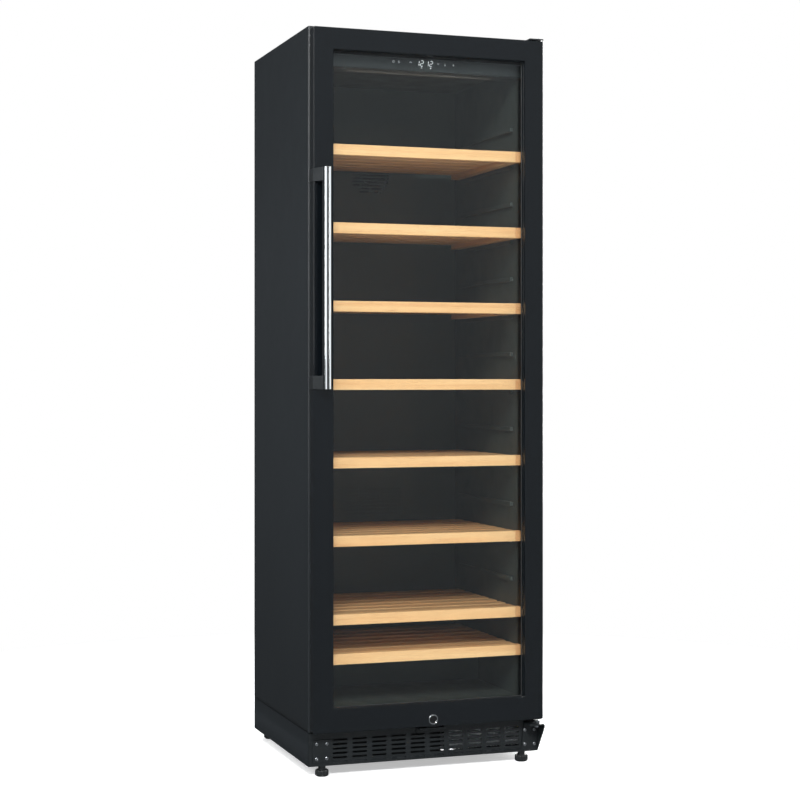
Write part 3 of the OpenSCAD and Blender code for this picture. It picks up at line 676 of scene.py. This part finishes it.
def loose_boxes(data):
    """The box round each loose part of a mesh, as its two corners."""
    pool = bmesh.new()
    pool.from_mesh(data)
    bmesh.ops.remove_doubles(pool, verts=pool.verts, dist=1e-6)
    seen, boxes = set(), []
    for v in pool.verts:
        if v in seen:
            continue
        island, queue = [], [v]
        seen.add(v)
        while queue:
            w = queue.pop()
            island.append(w.co.copy())
            for e in w.link_edges:
                o = e.other_vert(w)
                if o not in seen:
                    seen.add(o)
                    queue.append(o)
        boxes.append((Vector(map(min, *island)), Vector(map(max, *island))))
    pool.free()
    return boxes


def bracket_screws():
    """All the visible cross-recess screws, each turned by its own angle."""
    places = []
    for lo, hi in loose_boxes(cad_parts["bracket_screws"].data):
        places.append(((lo.x + hi.x) / 2, hi.y, (lo.z + hi.z) / 2, (hi.x - lo.x) / 2, hi.y - lo.y))
    places.sort()
    radius, height = places[0][3:]
    screw = cross_screw(radius, height)
    bm = bmesh.new()
    for place in places:
        spin = Matrix.Rotation(RNG.uniform(0, math.pi), 4, "Y")
        turned = screw.copy()
        turned.transform(Matrix.Translation(place[:3]) @ spin)
        bm.from_mesh(turned)
    piece("cross_recess_screws", bm, SCREW, "cabinet", ["bracket_screws"], "screw_steel", angle=30)


# ---- Plinth, feet and hinges ----

def foot(name):
    """A levelling foot: a fluted knob with a pad below, a collar and a threaded stem."""
    lo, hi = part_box(name)
    x, y = (lo.x + hi.x) / 2, (lo.y + hi.y) / 2
    r = (hi.x - lo.x) / 2
    knob_h, neck_r, neck_h, stem_r = 16 * MM, 9 * MM, 25.6 * MM, 5 * MM
    bm = bmesh.new()
    flutes = 16

    def fluted(a):
        return 1 - 0.085 * max(0, math.cos(flutes * a)) ** 2

    pad = [(0, 0), (r - 3.4 * MM, 0), (r - 2.8 * MM, 0.6 * MM), (r - 2.8 * MM, 1.8 * MM)]
    add_lathe(bm, pad, (x, y, lo.z), "z", 64)
    body = [(r - 2.8 * MM, 1.8 * MM), (r - 0.8 * MM, 2.2 * MM), (r, 3.4 * MM), (r, knob_h - 3 * MM),
            (r - 0.8 * MM, knob_h - 1.4 * MM), (r - 2.4 * MM, knob_h)]
    add_lathe(bm, body, (x, y, lo.z), "z", 128, arc=fluted)
    crown = [(r - 2.4 * MM, knob_h), (neck_r + 0.8 * MM, knob_h + 0.3 * MM), (neck_r, knob_h + 1.2 * MM),
             (neck_r, neck_h - 0.6 * MM), (neck_r - 0.6 * MM, neck_h), (stem_r, neck_h)]
    add_lathe(bm, crown, (x, y, lo.z), "z", 64)
    thread = [(stem_r, neck_h)]
    turns = 18
    for i in range(turns):
        z = neck_h + 0.4 * MM + i * 1.6 * MM
        thread += [(stem_r - 0.7 * MM, z), (stem_r, z + 0.8 * MM)]
    thread += [(stem_r - 0.8 * MM, hi.z - lo.z), (0, hi.z - lo.z)]
    add_lathe(bm, thread, (x, y, lo.z), "z", 32)
    piece(name + "_knob", bm, KNOB, name, [name], "foot_plastic", angle=40)


def lower_hinge():
    """A plate with rounded corners and a pressed rib, its arm under the door and a gusset."""
    lo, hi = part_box("lower_hinge_bracket")
    plate_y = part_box("kick_grille")[0].y
    sheet, arm_t = 3 * MM, 4 * MM
    under = hi.z - arm_t
    plate = [(lo.x, lo.z), (hi.x, lo.z), (hi.x, under), (lo.x + 8 * MM, under)]
    arm_x = lo.x + 6 * MM
    arm = [(arm_x, plate_y), (hi.x, plate_y), (hi.x, lo.y), (arm_x, lo.y)]
    gusset = [(plate_y, lo.z), (plate_y - sheet, lo.z), (lo.y, hi.z - 9 * MM), (lo.y, hi.z - 3 * MM),
              (plate_y, hi.z - 3 * MM)]
    bm = bmesh.new()
    add_prism(bm, rounded(plate, 4 * MM), "y", plate_y - sheet, plate_y)
    add_prism(bm, rounded(arm, 5 * MM), "z", under, hi.z)
    add_prism(bm, gusset, "x", hi.x - 2 * MM, hi.x)
    piece("lower_hinge_bracket_plate", bm, PLINTH, "cabinet", ["lower_hinge_bracket"], "plinth_paint",
          bevel=0.5 * MM)
    rib = bmesh.new()
    cx, cz = (lo.x + hi.x) / 2 + 2 * MM, (lo.z + hi.z) / 2 + 10 * MM
    path = [(cx + 7 * MM * math.sin(a), plate_y - sheet, cz - 9 * MM * math.cos(a))
            for a in (math.radians(20 * i - 80) for i in range(9))]
    add_tube(rib, path, 1.3 * MM, 10)
    piece("lower_hinge_bracket_rib", rib, PLINTH, "cabinet", slot="plinth_paint", angle=50)


# ---- Shelves ----

RUNNER, END_BLOCK, SLAT = 1, 2, 3  # a shelf's further materials; its front board has the first one


def add_board(bm, a, b, ease, number):
    """A plank with eased edges; its number picks the part of the tree it is cut from."""
    tag = bm.verts.layers.float["board"]
    made = add_box(bm, a, b)
    edges = list({e for v in made for e in v.link_edges})
    made = bmesh.ops.bevel(bm, geom=edges, offset=ease, segments=2, profile=0.6, affect="EDGES")["verts"]
    for v in made:
        v[tag] = number


def add_front(bm, lo, hi, back):
    """A shelf's front board with an end block at each side."""
    block_w, joint, ease = 14 * MM, 0.05 * MM, 1.0 * MM
    x0, x1 = lo.x + block_w, hi.x - block_w
    seed = RNG.uniform(0, 40)
    add_board(bm, (x0, lo.y, lo.z), (x1, back, hi.z), ease, seed)
    add_board(bm, lo, (x0 - joint, back, hi.z), ease, seed + 4)
    add_board(bm, (x1 + joint, lo.y, lo.z), (hi.x, back, hi.z), ease, seed + 7)
    for f in bm.faces:
        if abs(f.calc_center_median().x) > x1:
            f.material_index = END_BLOCK


def paint_from(bm, first, index):
    """Gives the faces from a number on one of the mesh's materials."""
    for f in list(bm.faces)[first:]:
        f.material_index = index


def shelf(name):
    """Front board with end blocks, slats and two side runners, each its own piece of wood."""
    lo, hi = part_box(name)
    back = lo.y + 20 * MM
    bm = bmesh.new()
    bm.verts.layers.float.new("board")
    add_front(bm, lo, hi, back)
    slats, slat_w, slat_t, drop = 7, 40 * MM, 12 * MM, 2 * MM
    deck = hi.x - 1 * MM
    top = hi.z - drop
    gap = (hi.y - back - slats * slat_w) / slats
    first = len(bm.faces)
    for k in range(slats):
        y = back + gap * (k + 1) + slat_w * k
        add_board(bm, (-deck, y, top - slat_t), (deck, y + slat_w, top), 1.5 * MM, RNG.uniform(0, 60))
    paint_from(bm, first, SLAT)
    runner_w, play = 24 * MM, 0.02 * MM
    runner_top = top - slat_t - play
    first = len(bm.faces)
    for x in (-deck, deck - runner_w):
        add_board(bm, (x, back, lo.z), (x + runner_w, hi.y, runner_top), 1.2 * MM, RNG.uniform(0, 60))
    paint_from(bm, first, RUNNER)
    # The slats and runners use the darker-tinted beech, which is painted shade inside the cabinet.
    piece(name + "_wood", bm, BEECH, name, [name], "beech", angle=40,
          materials=[BEECH_RUNNER_SHADED, BEECH_END, BEECH_SLAT_SHADED])


# ---- Control strip ----

SEGMENTS = {"a": (0.15, 1.0, 0.85, 1.0), "d": (0.15, 0.0, 0.85, 0.0), "g": (0.15, 0.5, 0.85, 0.5),
            "b": (1.0, 0.92, 1.0, 0.56), "c": (1.0, 0.44, 1.0, 0.08), "e": (0.0, 0.08, 0.0, 0.44)}


def add_stroke(bm, x0, z0, x1, z1, width, proud=0.3 * MM):
    """A raised stroke with pointed ends on the control strip's face."""
    a, b = Vector((x0, z0)), Vector((x1, z1))
    along = (b - a).normalized() * width / 2
    across = Vector((-along.y, along.x))
    a, b = a - along * 0.2, b + along * 0.2
    tip = along * 0.8
    outline = [a, a + across + tip, b + across - tip, b, b - across - tip, a - across + tip]
    add_prism(bm, [tuple(p) for p in outline], "y", MARKS_HI.y - proud, MARKS_HI.y)


def add_ring(bm, x, z, r, gap_at=None):
    """A ring of short strokes, open near one angle if asked."""
    count = 16
    for i in range(count):
        a, b = 2 * math.pi * i / count, 2 * math.pi * (i + 1) / count
        if gap_at is not None and abs((a + b) / 2 - gap_at) < 0.5:
            continue
        start = (x + r * math.cos(a), z + r * math.sin(a))
        add_stroke(bm, *start, x + r * math.cos(b), z + r * math.sin(b), 0.55 * MM, 0.2 * MM)


def numerals(base):
    """Two lit temperatures, both 12, with a short dash under each."""
    h, w, slant, thick = 13.5 * MM, 7.0 * MM, 0.12, 1.0 * MM
    bm = bmesh.new()
    for start, bars in ((-21.4, "bc"), (-10.5, "abged"), (2.4, "bc"), (13.3, "abged")):
        x = start * MM
        for s in bars:
            u0, v0, u1, v1 = SEGMENTS[s]
            low, high = base + v0 * h, base + v1 * h
            add_stroke(bm, x + u0 * w + v0 * h * slant, low, x + u1 * w + v1 * h * slant, high, thick)
    for x in (-9 * MM, 15 * MM):
        add_stroke(bm, x, base - 4.2 * MM, x + 2.4 * MM, base - 4.2 * MM, 1.4 * MM)
    piece("display_numerals", bm, DISPLAY, "cabinet", ["display_marks"], "display", angle=30)


def touch_marks(mid):
    """Dim signs: power, lamp, up, down, thermometer, snowflake, and a tick at the strip's left end."""
    bm = bmesh.new()

    def stroke(x0, z0, x1, z1, width):
        add_stroke(bm, x0 * MM, mid + z0 * MM, x1 * MM, mid + z1 * MM, width * MM)

    add_ring(bm, -80 * MM, mid, 2.6 * MM, math.pi / 2)
    stroke(-80, 0.6, -80, 3.2, 0.6)
    add_ring(bm, -66 * MM, mid + 0.8 * MM, 2.2 * MM)
    stroke(-67, -2.4, -65, -2.4, 0.6)
    stroke(-39, 0, -36, 2.4, 0.8)
    stroke(-36, 2.4, -33, 0, 0.8)
    stroke(33, 2.4, 36, 0, 0.8)
    stroke(36, 0, 39, 2.4, 0.8)
    add_ring(bm, 54 * MM, mid - 1.6 * MM, 1.3 * MM)
    stroke(54, -0.4, 54, 3.2, 0.7)
    for i in range(3):
        a = math.pi * i / 3
        dx, dz = 2.6 * MM * math.cos(a), 2.6 * MM * math.sin(a)
        add_stroke(bm, 76 * MM - dx, mid - dz, 76 * MM + dx, mid + dz, 0.5 * MM)
    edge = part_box("control_panel")[0].x
    add_stroke(bm, edge + 9 * MM, mid, edge + 12 * MM, mid - 2 * MM, 0.8 * MM)
    piece("display_touch_marks", bm, DISPLAY_DIM, "cabinet", slot="display", angle=30)


def display():
    """The numerals and the row of touch marks."""
    base = MARKS_LO.z + 0.5 * MM
    numerals(base)
    touch_marks(base + 7 * MM)


def control_panel():
    """The strip's housing with a rounded lower front edge and a slot for the light."""
    lo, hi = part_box("control_panel")
    strip_lo, strip_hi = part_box("light_strip")
    r, margin = 5 * MM, 0.4 * MM
    section = [(hi.y, lo.z + 1 * MM), (hi.y, hi.z), (lo.y, hi.z)]
    for i in range(6):
        a = math.radians(180 + 90 * i / 5)
        section.append((lo.y + r + r * math.cos(a), lo.z + r + r * math.sin(a)))
    bm = bmesh.new()
    add_prism(bm, section, "x", lo.x, hi.x)
    body = mesh_of(bm)
    slot = bmesh.new()
    add_box(slot, (strip_lo.x - margin, strip_lo.y - margin, lo.z - 2 * MM),
            (strip_hi.x + margin, strip_hi.y + margin, strip_hi.z + 0.2 * MM))
    housing = bmesh.new()
    housing.from_mesh(carve(body, mesh_of(slot)))
    piece("control_panel_housing", housing, PANEL, "cabinet", ["control_panel"], "panel_plastic",
          angle=30)


def light_strip():
    """A frosted lens with a gently curved lower face."""
    lo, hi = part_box("light_strip")
    mid, half = (lo.y + hi.y) / 2, (hi.y - lo.y) / 2
    rim, crown = 1.6 * MM, 1.0 * MM
    bm = bmesh.new()
    section = [(lo.y, hi.z)]
    for i in range(9):
        a = math.pi * i / 8
        section.append((mid - half * math.cos(a), hi.z - rim - crown * math.sin(a)))
    section.append((hi.y, hi.z))
    add_prism(bm, section, "x", lo.x, hi.x)
    piece("light_strip_lens", bm, LENS, "cabinet", ["light_strip"], "light_lens", angle=30)


# ---- Machine room ----

POT_R = 72 * MM


def compressor_pot(x, y):
    """The welded pot with its raised seam. The section's pairs are radius and height in mm."""
    section = [(0, 46), (48, 46), (58, 48.5), (66, 54), (70.5, 61), (72, 68), (72, 114),
               (73.6, 115), (73.9, 118.5), (73.6, 122), (72, 123), (72, 150), (70.5, 163),
               (66, 174), (58, 183), (46, 190), (28, 194.6), (0, 196)]
    bm = bmesh.new()
    add_lathe(bm, [(p * MM, q * MM) for p, q in section], (x, y, 0), "z", 72)
    piece("compressor_pot", bm, COMPRESSOR_PAINT, "cabinet", ["compressor"], "compressor_paint",
          angle=45)


def compressor_base(x, y, low, right):
    """The foot plate, two ribs under the pot and the terminal cover at the pot's right."""
    half_x, half_y, sheet = 88 * MM, 56 * MM, 2.5 * MM
    rib_x, rib_half, rib_y, rib_top = 58 * MM, 3 * MM, 30 * MM, low + 8 * MM + 10 * MM
    cover_y, cover_z0, cover_z1 = 26 * MM, 76 * MM, 132 * MM
    ridge, ease = 2 * MM, 8 * MM
    ridge_x = right - ridge
    plate = [(x + i * half_x, y + j * half_y) for i, j in ((-1, -1), (1, -1), (1, 1), (-1, 1))]
    bm = bmesh.new()
    add_prism(bm, rounded(plate, 16 * MM), "z", low, low + sheet)
    for sx in (-1, 1):
        add_box(bm, (x + sx * rib_x - rib_half, y - rib_y, low + sheet),
                (x + sx * rib_x + rib_half, y + rib_y, rib_top))
    add_box(bm, (x + 66 * MM, y - cover_y, cover_z0), (right, y + cover_y, cover_z1))
    add_tube(bm, [(ridge_x, y, cover_z0 + ease), (ridge_x, y, cover_z1 - ease)], ridge, 8)
    piece("compressor_base_and_cover", bm, RUBBER, "cabinet", slot="compressor_paint", bevel=1.5 * MM,
          segments=3)


def compressor_stubs(x, y):
    """Three copper stubs that leave the pot and turn up; each has an angle, a height and a reach."""
    sunk, rise = 8 * MM, Vector((0, 0, 16 * MM))
    bm = bmesh.new()
    for degrees, z, reach in ((200, 92, 16), (235, 150, 14), (150, 170, 12)):
        a = math.radians(degrees)
        out = Vector((math.cos(a), math.sin(a), 0))
        start = Vector((x, y, z * MM)) + out * (POT_R - sunk)
        turn = start + out * (reach + 8) * MM
        add_tube(bm, smooth_path([start, turn, turn + rise], 6 * MM), 3 * MM, 12)
    piece("compressor_stubs", bm, COPPER, "cabinet", slot="copper", angle=40)


def compressor():
    """A hermetic compressor on its foot plate."""
    lo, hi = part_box("compressor")
    x, y = lo.x + 88 * MM, (lo.y + hi.y) / 2
    compressor_pot(x, y)
    compressor_base(x, y, lo.z, hi.x)
    compressor_stubs(x, y)


def air_baffle():
    """A folded sheet beside the coil, so that the fan's warm air can't turn back to the grille."""
    coil_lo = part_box("condenser_coil")[0]
    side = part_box("machine_room_roof")[0]
    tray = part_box("base_tray")[0]
    sheet, lip, gap, inset = 1.2 * MM, 9 * MM, 1.5 * MM, 12 * MM
    x0, x1 = side.x + gap, coil_lo.x - 2 * gap
    z0, z1 = tray.z + gap, side.z - gap / 2
    y = coil_lo.y + 26 * MM
    section = [(x0, y), (x1, y), (x1, y + lip), (x1 - sheet, y + lip), (x1 - sheet, y + sheet),
               (x0, y + sheet)]
    bm = bmesh.new()
    add_prism(bm, section, "z", z0, z1)
    for k in range(1, 4):
        x = x0 + (x1 - x0) * k / 4
        add_tube(bm, [(x, y, z0 + inset), (x, y, z1 - inset)], 1.6 * MM, 10)
    piece("air_baffle_sheet", bm, RUBBER, "cabinet", slot="plinth_paint", angle=40)


def control_box_details():
    """Louvres on the back of the control box in the machine room."""
    lo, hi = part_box("control_box")
    back = hi.y - 3 * MM
    margin, pitch, slat = 20 * MM, 9 * MM, 3 * MM
    bm = bmesh.new()
    for i in range(6):
        z = lo.z + 70 * MM + i * pitch
        add_box(bm, (lo.x + margin, back - 0.5 * MM, z), (hi.x - margin, back + 1.2 * MM, z + slat))
    piece("control_box_louvres", bm, FLANGE, "cabinet", slot="tray_plastic", bevel=0.5 * MM)


# ---- Carried-over CAD nodes ----

def dress(material, *names, bevel=0.0):
    """Gives CAD nodes a finish and, if asked, rounded edges."""
    for name in names:
        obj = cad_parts[name]
        obj.data.materials.clear()
        obj.data.materials.append(material)
        if bevel:
            weld = obj.modifiers.new("weld", "WELD")
            weld.merge_threshold = 0.00001
            flat = obj.modifiers.new("flat", "DECIMATE")
            flat.decimate_type = "DISSOLVE"
            flat.angle_limit = math.radians(1.0)
            round_edges(obj, bevel, 2)


def dress_all():
    """The finish of each CAD node that keeps its own mesh."""
    dress(LINER, "liner_left_wall", "liner_right_wall", "liner_back_wall", "liner_ceiling", "liner_floor")
    dress(LINER, "shelf_supports", bevel=1.2 * MM)
    dress(LINER, "air_duct_cover")
    dress(FOAM, "insulation_foam")
    dress(GALVANISED, "machine_room_roof")
    # The base tray is darkened as painted shade behind the kick grille.
    dress(ZINC_PAINTED_SHADE, "base_tray")
    dress(FIN, "evaporator", "condenser_coil")
    dress(DARK_STEEL, "evaporator_fan_frame", "condenser_fan_frame", bevel=0.5 * MM)
    dress(DARK_STEEL, "condenser_fan_rotor", "evaporator_fan_rotor")
    dress(FLANGE, "door_flange", "door_inner_trim", bevel=0.6 * MM)
    dress(FLANGE, "drain_tray", "control_box", bevel=1.0 * MM)
    dress(PLINTH, "kick_grille", "blank_hinge_plate", bevel=0.45 * MM)
    dress(PLINTH, "upper_hinge_plate", bevel=0.8 * MM)
    dress(STEEL, "hinge_pins", bevel=0.5 * MM)
    dress(LOCK_BLACK, "lock_cylinder", bevel=0.25 * MM)
    dress(PLINTH, "lock_keeper", bevel=0.5 * MM)
    dress(RUBBER, "compressor_mounts", "cord_gland", bevel=0.6 * MM)
    dress(COPPER, "refrigerant_pipes")
    dress(GLASS, "outer_glass", "inner_glass")
    dress(SPACER, "glass_spacer")
    dress(BRACKET, "handle_brackets", bevel=0.6 * MM)
    dress(BUSH, "hinge_bushes", bevel=0.4 * MM)


def make_pieces():
    """Every modelled piece; the screws and then the shelves draw the random numbers in this order."""
    side_panel("left_side_panel", -1)
    side_panel("right_side_panel", 1)
    top_panel()
    rear_panel()
    door_frame()
    glazing_seal()
    door_gasket()
    handle()
    lock()
    bracket_screws()
    for name in ("foot_front_left", "foot_front_right", "foot_rear_left", "foot_rear_right"):
        foot(name)
    lower_hinge()
    for number in range(1, 9):
        shelf(f"shelf_{number}")
    control_panel()
    display()
    light_strip()
    compressor()
    control_box_details()
    air_baffle()


# ---- Camera, floor and light ----

def camera():
    """The photograph's view: level, and from a little to the left of the front."""
    azimuth, distance = math.radians(-19.2), 4.571
    aim = Vector((9 * MM, 0, 952 * MM))
    back = Vector((math.sin(azimuth), -math.cos(azimuth), 0))
    cam = bpy.data.objects.new("camera", bpy.data.cameras.new("camera"))
    cam.location = aim + back * distance
    cam.rotation_euler = (math.pi / 2, 0, azimuth)
    cam.data.lens = 80.3
    cam.data.sensor_width = 36
    cam.data.shift_y = -0.025
    cam.data.clip_end = 100
    put_in_scene(cam)
    bpy.context.scene.camera = cam


def floor_material():
    """Pale and matt by the cooler. Farther off the camera sees plain white, so no horizon shows."""
    near, far = 0.9, 2.2
    s = Shader("pale_floor", Roughness=0.9, Emission_Color=(1, 1, 1, 1), Emission_Strength=0.45)
    s.use("Base Color", s.ramp(s.noise(2.0), (0.3, (0.93, 0.93, 0.93, 1)), (0.7, (0.96, 0.96, 0.96, 1))))
    away = s.node("ShaderNodeVectorMath", operation="LENGTH")
    s.link(s.coords, away.inputs[0])
    seen = s.node("ShaderNodeMath", operation="MULTIPLY")
    s.link(s.spread(away.outputs["Value"], 0.0, 1.0, near, far), seen.inputs[0])
    s.link(s.node("ShaderNodeLightPath").outputs["Is Camera Ray"], seen.inputs[1])
    plain = s.node("ShaderNodeEmission")
    plain.inputs["Color"].default_value = (1, 1, 1, 1)
    fade = s.node("ShaderNodeMixShader")
    s.link(seen.outputs["Value"], fade.inputs["Fac"])
    s.link(s.bsdf.outputs["BSDF"], fade.inputs[1])
    s.link(plain.outputs["Emission"], fade.inputs[2])
    s.link(fade.outputs["Shader"], s.tree.nodes["Material Output"].inputs["Surface"])
    return s.material


def studio_floor():
    """A wide slab just under the feet."""
    reach, thick, gap = 30.0, 20 * MM, 0.1 * MM
    bm = bmesh.new()
    add_box(bm, (-reach, -reach, FLOOR_Z - thick), (reach, reach, FLOOR_Z - gap))
    data = bpy.data.meshes.new("studio_floor")
    bm.to_mesh(data)
    bm.free()
    data.materials.append(floor_material())
    floor = bpy.data.objects.new("studio_floor", data)
    put_in_scene(floor)
    floor.visible_glossy = False


def studio_world():
    """Soft light, stronger from above and from the front; the camera itself sees plain white."""
    world = bpy.data.worlds.new("studio")
    world.use_nodes = True
    tree = world.node_tree
    node, link = tree.nodes.new, tree.links.new
    room = tree.nodes["Background"]
    room.inputs["Color"].default_value = (0.90, 0.955, 1.0, 1)
    way = node("ShaderNodeSeparateXYZ")
    link(node("ShaderNodeTexCoord").outputs["Generated"], way.inputs["Vector"])
    both = node("ShaderNodeMath")
    both.operation = "MULTIPLY"
    for i, (axis, *limits) in enumerate((("Z", -0.25, 0.6, 0.24, 0.72), ("Y", -0.75, 0.75, 1.0, 0.22))):
        fade = node("ShaderNodeMapRange")
        for key, value in zip(("From Min", "From Max", "To Min", "To Max"), limits):
            fade.inputs[key].default_value = value
        link(way.outputs[axis], fade.inputs["Value"])
        link(fade.outputs["Result"], both.inputs[i])
    link(both.outputs["Value"], room.inputs["Strength"])
    white = node("ShaderNodeBackground")
    white.inputs["Color"].default_value = (1, 1, 1, 1)
    mix = node("ShaderNodeMixShader")
    link(node("ShaderNodeLightPath").outputs["Is Camera Ray"], mix.inputs["Fac"])
    link(room.outputs["Background"], mix.inputs[1])
    link(white.outputs["Background"], mix.inputs[2])
    link(mix.outputs["Shader"], tree.nodes["World Output"].inputs["Surface"])
    bpy.context.scene.world = world


def area_light(name, place, target, width, height, power):
    """A rectangular lamp that faces a point."""
    data = bpy.data.lights.new(name, "AREA")
    data.shape = "RECTANGLE"
    data.size, data.size_y = width, height
    data.energy = power
    lamp = bpy.data.objects.new(name, data)
    lamp.location = place
    direction = Vector(target) - Vector(place)
    lamp.rotation_euler = direction.to_track_quat("-Z", "Y").to_euler()
    put_in_scene(lamp)
    return lamp


def lights():
    """A key light, a rim light for the left side, a weak one overhead and one for the back."""
    area_light("key", (-1.6, -4.6, 3.7), (0, 0, 0.9), 1.8, 1.4, 380)
    area_light("rim", (-3.2, -0.7, 2.2), (-0.3, -0.2, 1.4), 0.7, 2.4, 75)
    area_light("overhead", (0, -0.6, 4.2), (0, 0, 1.0), 2.0, 2.0, 40)
    area_light("back", (2.5, 3.9, 1.5), (0, 0, 0.7), 2.2, 2.4, 280)


def trim_card():
    """A white card before the door that only the polished handle bar mirrors."""
    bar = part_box("handle_bar")[0]
    card = area_light("trim_card", (bar.x + 1.0, bar.y - 2.8, bar.z + 0.2), bar, 2.2, 3.4, 19)
    only = bpy.data.collections.new("polished_trim")
    only.objects.link(bpy.data.objects["handle_bar_chrome"])
    card.light_linking.receiver_collection = only


bpy.context.scene.view_settings.view_transform = "Standard"
dress_all()
make_pieces()
camera()
studio_floor()
studio_world()
lights()
trim_card()
